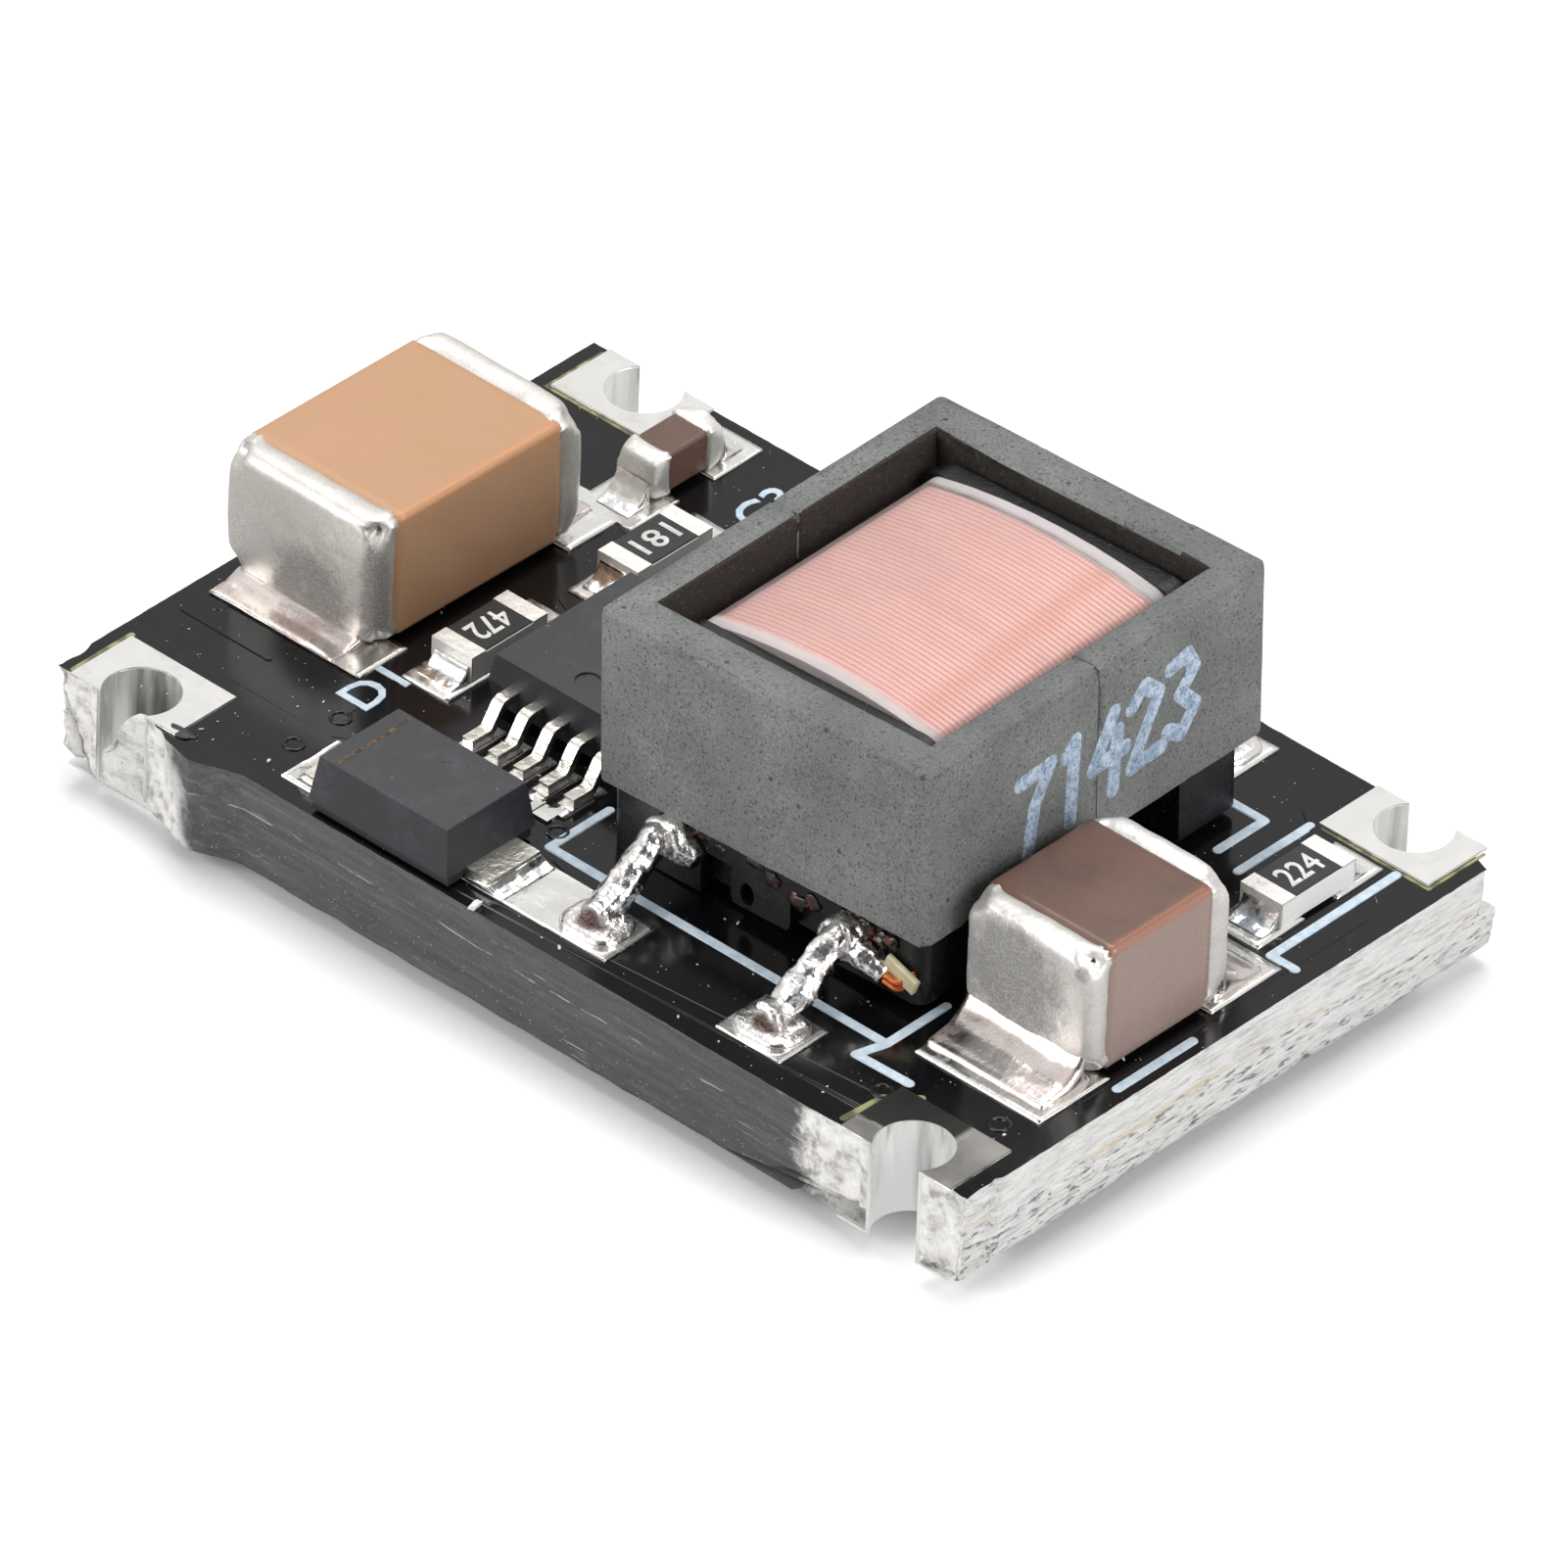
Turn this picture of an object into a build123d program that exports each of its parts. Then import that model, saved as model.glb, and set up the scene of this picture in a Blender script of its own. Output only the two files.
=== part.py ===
"""High voltage boost converter module: a bare circuit board with a ferrite transformer and its parts.

Millimetres, +Z up. X runs along the board's long side, the underside of the board lies on Z = 0.
"""
import os
from math import cos, radians, sin

from build123d import *

os.makedirs("parts", exist_ok=True)

# Circuit board
BOARD_LENGTH = 17.96
BOARD_WIDTH = 11.46
BOARD_THICKNESS = 1.6
END_CUT_SLANT = 0.15       # the sawn short sides lean in by this at the underside
TAB_STUB = 0.3             # what is left of a break-off tab on the front side
TAB_STUB_LENGTH = 1.8
TAB_STUB_MIDDLE = 3.0      # from the left short side
PAD_THICKNESS = 0.04

# Plated notches at the corners
NOTCH_RADIUS = 0.65
NOTCH_PITCH = 15.2         # along the long side
NOTCH_SETBACK = 0.4        # centre to the long edge
PLATING = 0.05
EDGE_PAD_LENGTH = 2.1
EDGE_PAD_DEPTH = 1.28

# Large capacitor, lying across the board
LARGE_CAP_SIZE = (3.15, 4.45, 2.25)
LARGE_CAP_SPOT = (-7.35, -0.1)
LARGE_CAP_TURN = -0.8
LARGE_CAP_BAND = 0.6
LARGE_CAP_SOLDER = (2.5, 0.5, 0.16)    # width, run over the pad and rise up the metal

# Second capacitor
SECOND_CAP_SIZE = (2.5, 3.1, 2.25)
SECOND_CAP_SPOT = (7.22, -1.12)
SECOND_CAP_BAND = 0.54
SECOND_CAP_SOLDER = (2.2, 0.8, 0.6)

CAP_METAL = 0.05           # thickness of the metal on the ceramic
CAP_ROUND = 0.24
CERAMIC_ROUND = 0.12

# Small chip capacitor
SMALL_CAP_SIZE = (0.8, 1.6, 0.78)
SMALL_CAP_SPOT = (-5.88, 4.05)
SMALL_CAP_BAND = 0.38
SMALL_CAP_ROUND = 0.1
SMALL_CERAMIC_ROUND = 0.06
SMALL_CAP_SOLDER = (0.7, 0.5, 0.45)

# Chip resistors
CHIP_SIZE = (0.8, 1.6, 0.45)
CHIP_BAND = 0.3
CHIP_METAL = 0.03
CHIP_COAT = 0.03
CHIP_COAT_INSET = 0.02
CHIP_SOLDER = (0.72, 0.42, 0.34)
CHIP_SPOTS = {
    "front_chip_resistor": (-4.77, -1.0),
    "rear_chip_resistor": (-4.52, 2.26),
    "end_chip_resistor": (7.48, 2.93),
}

# Diode
DIODE_BODY = (2.74, 1.86)
DIODE_HEIGHT = 1.0
DIODE_SPOT = (-2.57, -4.75)
DIODE_DRAFT = 8.0
DIODE_LEAD_WIDTH = 1.04
DIODE_LEAD_REACH = 0.48
DIODE_LEAD_THICKNESS = 0.16
DIODE_LEAD_HOLD = 0.45     # part of each lead inside the moulding
DIODE_SOLDER_RUN = 0.34    # solder beyond the end of a lead
DIODE_SOLDER_SIDE = 0.05   # solder beside a lead

# Controller with gull-wing leads
CHIP_BODY = 3.0
CHIP_BODY_GAP = 0.12       # under the moulding
CHIP_BODY_TOP = 0.97
CHIP_SPLIT = 0.52          # height at which the leads leave the moulding
CHIP_DRAFT = 9.0
CONTROLLER_SPOT = (-2.34, -0.52)
LEAD_PITCH = 0.5
LEADS_PER_SIDE = 5
LEAD_SPAN = 4.9
LEAD_WIDTH = 0.2
LEAD_THICKNESS = 0.13
LEAD_FOOT = 0.42
LEAD_HOLD = 0.4            # part of each lead inside the moulding
LEAD_SHOULDER = 0.27       # straight part outside the moulding
LEAD_BEND = 0.13
FIRST_LEAD_DIMPLE = (-0.05, 0.55)    # from the middle and from the front edge of the moulding
DIMPLE_RADIUS = 0.2
DIMPLE_DEPTH = 0.03
JOINT_THICKNESS = 0.03     # solder under a foot

# Tinned pads: length along X and depth along Y, then the middle's place from the middle of the part
LARGE_CAP_PAD = (3.0, 1.3)
LARGE_CAP_PAD_PLACE = (0.22, 2.36)
SECOND_CAP_PAD = (2.4, 1.5)
SECOND_CAP_PAD_PLACE = (0.08, 1.83)
SMALL_CAP_PAD = (1.08, 1.05)
SMALL_CAP_PAD_PLACE = (0, 0.9)
CHIP_PAD = (0.92, 1.0)
CHIP_PAD_PLACE = (0, 0.85)
LEAD_PAD_MARGIN = (0.1, 0.5)    # wider and longer than the foot of a lead
DIODE_LEFT_PAD = (1.55, 1.2)
DIODE_LEFT_PAD_PLACE = (-1.44, 0)
DIODE_RIGHT_PAD = (2.1, 1.12)
DIODE_RIGHT_PAD_PLACE = (1.9, 0.02)
SPARE_PAD = (0.3, 0.3)          # bare copper beside the controller
SPARE_PAD_SPOT = (-1.46, -3.3)
SPARE_STRIP = (0.16, 0.3)
SPARE_STRIP_SPOT = (-1.72, -3.26)

# Transformer, seated a little askew as it was soldered by hand
TRANSFORMER_SPOT = (2.56, 0.45)
TRANSFORMER_TILT = 1.8
TRANSFORMER_TURN = 0.9
CORE_LENGTH = 7.4
CORE_WIDTH = 6.3
CORE_HEIGHT = 3.0
CORE_SIDE_WALL = 0.57
CORE_END_WALL = 0.73
CORE_LEG_WIDTH = 2.7
CORE_LEG_HEIGHT = 0.8
CORE_EDGE = 0.07
CORE_CORNER = 0.16         # round of the outer upright corners
BASE_HEIGHT = 1.16
BASE_INSET = 0.16          # base inside the core's side faces
BASE_FRONT_INSET = 0.14
BASE_BACK_INSET = 0.34
BASE_BLOCK = 1.35          # depth of each terminal block
BASE_ROUND = 0.22
LEDGE = 0.42               # full-depth strip of the block under the core
RECESS_DEPTH = 0.25
RECESS_MARGIN = 0.45       # recess short of each pin's axis
BOSS_SIZE = (1.15, 0.8)    # between the two recesses
BOSS_SHIFT = -0.1
BOSS_LIFT = 0.1            # boss runs this far up behind the ledge
BOSS_ROUND = 0.25
DRAW_HOLE = (0.13, 0.19)   # half width and half height of the oval hole in the boss
DRAW_HOLE_SHIFT = (-0.25, -0.36)
DRAW_HOLE_DEPTH = 0.5
FOOT_RELIEF = 0.12
LEG_CLEARANCE = 0.04
TUBE_WALL = 0.2
FLANGE_THICKNESS = 0.35
FLANGE_CLEARANCE = 0.12    # flange to the window of the core
FLANGE_DROP = 0.36         # flange top below the core's top
FLANGE_ROUND = 0.4
COIL_CROWN = 0.24
COIL_CORNER = 0.3
COIL_MARGIN = 0.22         # outer winding short of each flange
INNER_COIL = 0.22
COIL_TAPE = 0.04
COIL_SIDE_CLEARANCE = 0.2  # outer coil to the side walls of the core
COIL_DROP = 0.2            # crown of the coil below the core's top

# Transformer pins
PIN_DIAMETER = 0.38
PIN_PITCH = 3.4
PIN_REACH = 0.5            # straight part outside the block
PIN_HEIGHT = 0.92          # axis above the board at the block
PIN_FOOT_INSET = 0.86      # end of the pin to the board's long edge
PIN_FOOT = 0.3
PIN_HOLD = 0.9             # part of each pin inside the block
PIN_BEND = 0.18
PIN_PAD = (1.24, 1.05)
PIN_PAD_FRONT_INSET = 0.45
PIN_PAD_BACK_INSET = 0.35
MOUND_HEIGHT = 0.2         # solder round the foot of a pin
MOUND_CORNER = 0.34
MOUND_INSET = 0.08
WRAP_GAP = 0.04            # wrap to the face of the block
WRAP_THICKNESS = 0.1
WRAP_LENGTH = 0.32
TAIL_REACH = 0.78          # tinned tail of the wire end, beside the pin
TAIL_FALL = 0.42           # its drop as a share of its reach
TAIL_ROOT_RADIUS = 0.2
TAIL_TIP_RADIUS = 0.13
WIRE_DIAMETER = 0.1
STRAND_SPREAD = 0.055      # each strand above or below the middle of the tail
STRAND_RUN = (0.24, 0.04, -0.08)    # out of the tail, before the strand turns back into the block
STRAND_RETURN = (0.36, 0.08, 0.06)  # along X, into the block and up
STRAND_BEND = 0.1
SLEEVE_SECTION = (0.3, 0.11)        # flattened by the core above it
SLEEVE_LENGTH = 0.6
SLEEVE_START = 0.72                 # beside the pin
SLEEVE_DROP = 0.13                  # below the pin's axis
SLEEVE_FALL = -0.35                 # its drop as a share of its run

# Printed lines on the board
PRINT_WIDTH = 0.16
PRINT_THICKNESS = 0.02
OUTLINE_MARGIN = (0.3, 0.59)    # printed outline to the core, on the left and in front
OUTLINE_INSET = (0.02, 0.2)     # outline inside the core's right and back sides
OUTLINE_STEP = 0.24             # the back part of the outline stands further right
OUTLINE_ARMS = (1.26, 1.0)      # drawn length of the short sides, in front and behind

# Values that follow from the sizes above
top = Plane.XY.offset(BOARD_THICKNESS)
pad_top = top.offset(PAD_THICKNESS)
half_length = BOARD_LENGTH / 2
half_width = BOARD_WIDTH / 2
notch_y = half_width - NOTCH_SETBACK
base_width = CORE_WIDTH - 2 * BASE_INSET
seat_height = (
    BOARD_THICKNESS
    + BASE_HEIGHT * cos(radians(TRANSFORMER_TILT))
    + base_width / 2 * sin(radians(TRANSFORMER_TILT))
)
seat = Plane(
    Location(
        (TRANSFORMER_SPOT[0], TRANSFORMER_SPOT[1], seat_height),
        (0, -TRANSFORMER_TILT, TRANSFORMER_TURN),
    )
)
upright = Axis(seat.origin, seat.z_dir)
front_view = Plane(origin=seat.origin, x_dir=seat.x_dir, z_dir=-seat.y_dir)
pin_centre_x = TRANSFORMER_SPOT[0] + 0.06
pin_z = BOARD_THICKNESS + PIN_HEIGHT
coil_axis_height = CORE_HEIGHT / 2
lead_shifts = [(step - (LEADS_PER_SIDE - 1) / 2) * LEAD_PITCH for step in range(LEADS_PER_SIDE)]
coil_plane = Plane(origin=seat.offset(coil_axis_height).origin, x_dir=seat.x_dir, z_dir=-seat.y_dir)


def save(name, shape):
    """Label one piece and write its file."""
    shape.label = name
    export_step(shape, f"parts/{name}.step")


# Plated edge terminals: a pad above, a pad below and the plated wall of the notch between them
def edge_terminal(side, end):
    """side is -1 or 1 along X, end is -1 or 1 along Y."""
    hole = (side * NOTCH_PITCH / 2, end * notch_y)
    pad_centre = (hole[0], end * (half_width - EDGE_PAD_DEPTH / 2))
    with BuildPart() as terminal:
        for base in (Plane.XY, top):
            with BuildSketch(base):
                with Locations(pad_centre):
                    Rectangle(EDGE_PAD_LENGTH, EDGE_PAD_DEPTH)
                with Locations(hole):
                    Circle(NOTCH_RADIUS, mode=Mode.SUBTRACT)
            extrude(amount=PAD_THICKNESS)
        with BuildSketch(Plane.XY):
            with Locations(hole):
                Circle(NOTCH_RADIUS)
                Circle(NOTCH_RADIUS - PLATING, mode=Mode.SUBTRACT)
            with Locations(pad_centre):
                Rectangle(EDGE_PAD_LENGTH, EDGE_PAD_DEPTH, mode=Mode.INTERSECT)
        extrude(amount=BOARD_THICKNESS + PAD_THICKNESS)
    return terminal.part


front_left_edge_terminal = edge_terminal(-1, -1)
front_right_edge_terminal = edge_terminal(1, -1)
back_left_edge_terminal = edge_terminal(-1, 1)
back_right_edge_terminal = edge_terminal(1, 1)
edge_terminals = {
    "front_left_edge_terminal": front_left_edge_terminal,
    "front_right_edge_terminal": front_right_edge_terminal,
    "back_left_edge_terminal": back_left_edge_terminal,
    "back_right_edge_terminal": back_right_edge_terminal,
}
for terminal_name, terminal_part in edge_terminals.items():
    save(terminal_name, terminal_part)

# Circuit board: sawn short sides, a stub of the break-off tab on the front side, knocked corners
tab_middle = -half_length + TAB_STUB_MIDDLE
with BuildPart() as circuit_board:
    with BuildSketch(Plane.XZ):
        with BuildLine():
            Polyline(
                (-half_length + END_CUT_SLANT, 0),
                (half_length - END_CUT_SLANT, 0),
                (half_length, BOARD_THICKNESS),
                (-half_length, BOARD_THICKNESS),
                close=True,
            )
        make_face()
    extrude(amount=half_width, both=True)
    with BuildSketch(Plane.XY):
        with BuildLine():
            Polyline(
                (tab_middle - TAB_STUB_LENGTH * 0.55, -half_width),
                (tab_middle - TAB_STUB_LENGTH * 0.35, -half_width - TAB_STUB * 0.6),
                (tab_middle, -half_width - TAB_STUB),
                (tab_middle + TAB_STUB_LENGTH * 0.3, -half_width - TAB_STUB * 0.25),
                (tab_middle + TAB_STUB_LENGTH * 0.45, -half_width),
                close=True,
            )
        make_face()
    extrude(amount=BOARD_THICKNESS)
    with BuildSketch(Plane.XY):
        with Locations(*[(s * NOTCH_PITCH / 2, e * notch_y) for s in (-1, 1) for e in (-1, 1)]):
            Circle(NOTCH_RADIUS)
    extrude(amount=BOARD_THICKNESS, mode=Mode.SUBTRACT)
    # laminate chipped off the lower front edge towards the right
    with BuildSketch(Plane.XZ.offset(half_width)):
        with BuildLine():
            Polyline(
                (half_length - 5.0, 0),
                (half_length - 2.6, 0.3),
                (half_length - 1.5, 0.5),
                (half_length - 0.75, 0.16),
                (half_length - 0.5, 0),
                close=True,
            )
        make_face()
    extrude(amount=-0.35, taper=30, mode=Mode.SUBTRACT)
    # corner knocked off at the back right
    with BuildSketch(top.offset(-0.9)):
        with BuildLine():
            Polyline(
                (half_length - 0.5, half_width),
                (half_length - 0.34, half_width - 0.24),
                (half_length, half_width - 0.36),
                (half_length, half_width),
                close=True,
            )
        make_face()
    extrude(amount=0.9, mode=Mode.SUBTRACT)
    # lower corner worn away at the front left
    with BuildSketch(Plane.XY):
        with BuildLine():
            Polyline(
                (-half_length, -half_width),
                (-half_length + 0.62, -half_width),
                (-half_length, -half_width + 0.5),
                close=True,
            )
        make_face()
    extrude(amount=0.75, taper=20, mode=Mode.SUBTRACT)
    for terminal_part in edge_terminals.values():
        add(terminal_part, mode=Mode.SUBTRACT)
save("circuit_board", circuit_board.part)


def pin_pad_y(end):
    """Y of the middle of the pads of the front pins, end -1, or the back ones, end 1."""
    inset = PIN_PAD_FRONT_INSET if end < 0 else PIN_PAD_BACK_INSET
    return end * (half_width - inset - PIN_PAD[1] / 2)


# Tinned pads on the board
def pad_rows():
    """Centre, and size along X and Y, of every bare pad."""
    rows = [(SPARE_PAD_SPOT, SPARE_PAD), (SPARE_STRIP_SPOT, SPARE_STRIP)]
    two_ended = [
        (LARGE_CAP_SPOT, LARGE_CAP_PAD_PLACE, LARGE_CAP_PAD),
        (SECOND_CAP_SPOT, SECOND_CAP_PAD_PLACE, SECOND_CAP_PAD),
        (SMALL_CAP_SPOT, SMALL_CAP_PAD_PLACE, SMALL_CAP_PAD),
    ]
    two_ended += [(spot, CHIP_PAD_PLACE, CHIP_PAD) for spot in CHIP_SPOTS.values()]
    lead_pad = (LEAD_WIDTH + LEAD_PAD_MARGIN[0], LEAD_FOOT + LEAD_PAD_MARGIN[1])
    lead_places = [(shift, (LEAD_SPAN - LEAD_FOOT) / 2) for shift in lead_shifts]
    two_ended += [(CONTROLLER_SPOT, place, lead_pad) for place in lead_places]
    for spot, place, size in two_ended:
        for end in (-1, 1):
            rows.append(((spot[0] + place[0], spot[1] + end * place[1]), size))
    for end in (-1, 1):
        for side in (-1, 1):
            rows.append(((pin_centre_x + side * PIN_PITCH / 2, pin_pad_y(end)), PIN_PAD))
    for place, size in ((DIODE_LEFT_PAD_PLACE, DIODE_LEFT_PAD), (DIODE_RIGHT_PAD_PLACE, DIODE_RIGHT_PAD)):
        rows.append(((DIODE_SPOT[0] + place[0], DIODE_SPOT[1] + place[1]), size))
    return rows


with BuildPart() as tinned_pads:
    for pad_spot, pad_size in pad_rows():
        with BuildSketch(top):
            with Locations(pad_spot):
                Rectangle(*pad_size)
        extrude(amount=PAD_THICKNESS)
save("tinned_pads", tinned_pads.part)


# Ceramic capacitors: a block with a metal cap fired over each end
def ceramic_block(plane, size, rounding):
    with BuildPart() as block:
        with BuildSketch(plane.offset(CAP_METAL)):
            Rectangle(size[0] - 2 * CAP_METAL, size[1] - 2 * CAP_METAL)
        extrude(amount=size[2] - 2 * CAP_METAL)
        fillet(block.edges(), radius=rounding)
    return block.part


def end_cap_pair(plane, size, band, rounding, block):
    with BuildPart() as caps:
        with BuildSketch(plane):
            Rectangle(size[0], size[1])
        extrude(amount=size[2])
        fillet(caps.edges(), radius=rounding)
        with BuildSketch(plane):
            Rectangle(size[0] + 1, size[1] - 2 * band)
        extrude(amount=size[2], mode=Mode.SUBTRACT)
        add(block, mode=Mode.SUBTRACT)
    return caps.part


def solder_ramps(plane, size, ramp, inset, cut_by):
    """A hollow-faced ramp of solder at each end of a part, drawn in side view and shaped to the metal."""
    width, run, rise = ramp
    side_view = Plane(origin=plane.origin, x_dir=plane.y_dir, z_dir=plane.x_dir)
    end_y = size[1] / 2
    with BuildPart() as ramps:
        for end in (-1, 1):
            with BuildSketch(side_view):
                with BuildLine():
                    foot = (end * (end_y + run), 0)
                    heel = (end * (end_y - inset), 0)
                    crest = (end * (end_y - inset), rise)
                    lip = (end * end_y, rise)
                    brow = (end * (end_y + run * 0.12), rise * 0.52)
                    knee = (end * (end_y + run * 0.42), rise * 0.18)
                    Polyline(foot, heel, crest, lip, brow, knee, close=True)
                make_face()
            extrude(amount=width / 2, both=True)
        for shape in cut_by:
            add(shape, mode=Mode.SUBTRACT)
    return ramps.part


def spot_plane(spot, turn=0.0):
    """A plane on top of the pads at one part's place."""
    return Plane(Location((spot[0], spot[1], BOARD_THICKNESS + PAD_THICKNESS), (0, 0, turn)))


large_cap_plane = spot_plane(LARGE_CAP_SPOT, LARGE_CAP_TURN)
large_capacitor_block = ceramic_block(large_cap_plane, LARGE_CAP_SIZE, CERAMIC_ROUND)
large_capacitor_end_caps = end_cap_pair(
    large_cap_plane, LARGE_CAP_SIZE, LARGE_CAP_BAND, CAP_ROUND, large_capacitor_block
)
large_capacitor_solder = solder_ramps(
    large_cap_plane,
    LARGE_CAP_SIZE,
    LARGE_CAP_SOLDER,
    CAP_ROUND,
    (large_capacitor_end_caps, large_capacitor_block),
)
save("large_capacitor_block", large_capacitor_block)
save("large_capacitor_end_caps", large_capacitor_end_caps)
save("large_capacitor_solder", large_capacitor_solder)

second_cap_plane = spot_plane(SECOND_CAP_SPOT)
second_capacitor_block = ceramic_block(second_cap_plane, SECOND_CAP_SIZE, CERAMIC_ROUND)
second_capacitor_end_caps = end_cap_pair(
    second_cap_plane, SECOND_CAP_SIZE, SECOND_CAP_BAND, CAP_ROUND, second_capacitor_block
)
second_capacitor_solder = solder_ramps(
    second_cap_plane,
    SECOND_CAP_SIZE,
    SECOND_CAP_SOLDER,
    CAP_ROUND,
    (second_capacitor_end_caps, second_capacitor_block),
)
save("second_capacitor_block", second_capacitor_block)
save("second_capacitor_end_caps", second_capacitor_end_caps)
save("second_capacitor_solder", second_capacitor_solder)

small_cap_plane = spot_plane(SMALL_CAP_SPOT)
small_capacitor_block = ceramic_block(small_cap_plane, SMALL_CAP_SIZE, SMALL_CERAMIC_ROUND)
small_capacitor_end_caps = end_cap_pair(
    small_cap_plane, SMALL_CAP_SIZE, SMALL_CAP_BAND, SMALL_CAP_ROUND, small_capacitor_block
)
small_capacitor_solder = solder_ramps(
    small_cap_plane,
    SMALL_CAP_SIZE,
    SMALL_CAP_SOLDER,
    SMALL_CAP_ROUND,
    (small_capacitor_end_caps, small_capacitor_block),
)
save("small_capacitor_block", small_capacitor_block)
save("small_capacitor_end_caps", small_capacitor_end_caps)
save("small_capacitor_solder", small_capacitor_solder)


# Chip resistors: white ceramic, metal wrapped over both ends, a dark protective coat between them
def chip_ceramic(plane):
    with BuildPart() as ceramic:
        with BuildSketch(plane.offset(CHIP_METAL)):
            Rectangle(CHIP_SIZE[0], CHIP_SIZE[1] - 2 * CHIP_METAL)
        extrude(amount=CHIP_SIZE[2] - 2 * CHIP_METAL)
    return ceramic.part


def chip_coat(plane):
    with BuildPart() as coat:
        with BuildSketch(plane.offset(CHIP_SIZE[2] - CHIP_METAL)):
            Rectangle(CHIP_SIZE[0] - 2 * CHIP_COAT_INSET, CHIP_SIZE[1] - 2 * CHIP_BAND)
        extrude(amount=CHIP_COAT)
    return coat.part


def chip_ends(plane, ceramic):
    with BuildPart() as ends:
        with BuildSketch(plane):
            Rectangle(*CHIP_SIZE[:2])
            Rectangle(CHIP_SIZE[0], CHIP_SIZE[1] - 2 * CHIP_BAND, mode=Mode.SUBTRACT)
        extrude(amount=CHIP_SIZE[2])
        add(ceramic, mode=Mode.SUBTRACT)
    return ends.part


chip_joints = []
for chip_name, chip_spot in CHIP_SPOTS.items():
    chip_plane = spot_plane(chip_spot)
    ceramic_part = chip_ceramic(chip_plane)
    ends_part = chip_ends(chip_plane, ceramic_part)
    save(f"{chip_name}_ceramic", ceramic_part)
    save(f"{chip_name}_coat", chip_coat(chip_plane))
    save(f"{chip_name}_ends", ends_part)
    chip_joints.append(solder_ramps(chip_plane, CHIP_SIZE, CHIP_SOLDER, CHIP_METAL / 2, (ends_part,)))

with BuildPart() as chip_resistor_solder:
    for joint in chip_joints:
        add(joint)
save("chip_resistor_solder", chip_resistor_solder.part)

# Diode: two flat leads in a drafted moulding, the lower half set back under the leads
diode_lead_top = JOINT_THICKNESS + DIODE_LEAD_THICKNESS
with BuildPart() as diode_leads:
    with BuildSketch(pad_top.offset(JOINT_THICKNESS)):
        with Locations(DIODE_SPOT):
            Rectangle(DIODE_BODY[0] + 2 * DIODE_LEAD_REACH, DIODE_LEAD_WIDTH)
            Rectangle(DIODE_BODY[0] - 2 * DIODE_LEAD_HOLD, DIODE_LEAD_WIDTH, mode=Mode.SUBTRACT)
    extrude(amount=DIODE_LEAD_THICKNESS)
save("diode_leads", diode_leads.part)

with BuildPart() as diode_body:
    with BuildSketch(pad_top.offset(diode_lead_top)):
        with Locations(DIODE_SPOT):
            Rectangle(*DIODE_BODY)
    extrude(amount=DIODE_HEIGHT - diode_lead_top - PAD_THICKNESS, taper=DIODE_DRAFT)
    with BuildSketch(pad_top.offset(diode_lead_top)):
        with Locations(DIODE_SPOT):
            Rectangle(DIODE_BODY[0] - 0.04, DIODE_BODY[1] - 0.1)
    extrude(amount=-diode_lead_top + 0.01, taper=5)
    fillet(diode_body.faces().sort_by(Axis.Z)[-1].edges(), radius=0.03)
    add(diode_leads.part, mode=Mode.SUBTRACT)
save("diode_body", diode_body.part)

lead_end = DIODE_BODY[0] / 2 + DIODE_LEAD_REACH
with BuildPart() as diode_solder:
    for side in (-1, 1):
        with BuildSketch(Plane.XZ.offset(-DIODE_SPOT[1])):
            with BuildLine():
                x = DIODE_SPOT[0] + side * lead_end
                z = BOARD_THICKNESS + PAD_THICKNESS
                Polyline(
                    (x + side * DIODE_SOLDER_RUN, z),
                    (x - side * DIODE_LEAD_REACH, z),
                    (x - side * DIODE_LEAD_REACH, z + diode_lead_top * 0.5),
                    (x, z + diode_lead_top * 0.7),
                    (x + side * DIODE_SOLDER_RUN * 0.3, z + diode_lead_top * 0.3),
                    close=True,
                )
            make_face()
        extrude(amount=DIODE_LEAD_WIDTH / 2 + DIODE_SOLDER_SIDE, both=True)
    add(diode_leads.part, mode=Mode.SUBTRACT)
    add(diode_body.part, mode=Mode.SUBTRACT)
save("diode_solder", diode_solder.part)

# Controller: gull-wing leads bent from strip, and the moulding they stand out of
foot_z = BOARD_THICKNESS + PAD_THICKNESS + JOINT_THICKNESS + LEAD_THICKNESS / 2
exit_z = BOARD_THICKNESS + CHIP_SPLIT
lead_planes = [Plane.YZ.offset(CONTROLLER_SPOT[0] + shift) for shift in lead_shifts]
with BuildPart() as controller_leads:
    for end in (-1, 1):
        with BuildSketch(*lead_planes):
            with BuildLine():
                FilletPolyline(
                    (CONTROLLER_SPOT[1] + end * (CHIP_BODY / 2 - LEAD_HOLD), exit_z),
                    (CONTROLLER_SPOT[1] + end * (CHIP_BODY / 2 + LEAD_SHOULDER), exit_z),
                    (CONTROLLER_SPOT[1] + end * (LEAD_SPAN / 2 - LEAD_FOOT), foot_z),
                    (CONTROLLER_SPOT[1] + end * LEAD_SPAN / 2, foot_z),
                    radius=LEAD_BEND,
                )
            trace(line_width=LEAD_THICKNESS)
        extrude(amount=LEAD_WIDTH / 2, both=True)
save("controller_leads", controller_leads.part)

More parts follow.
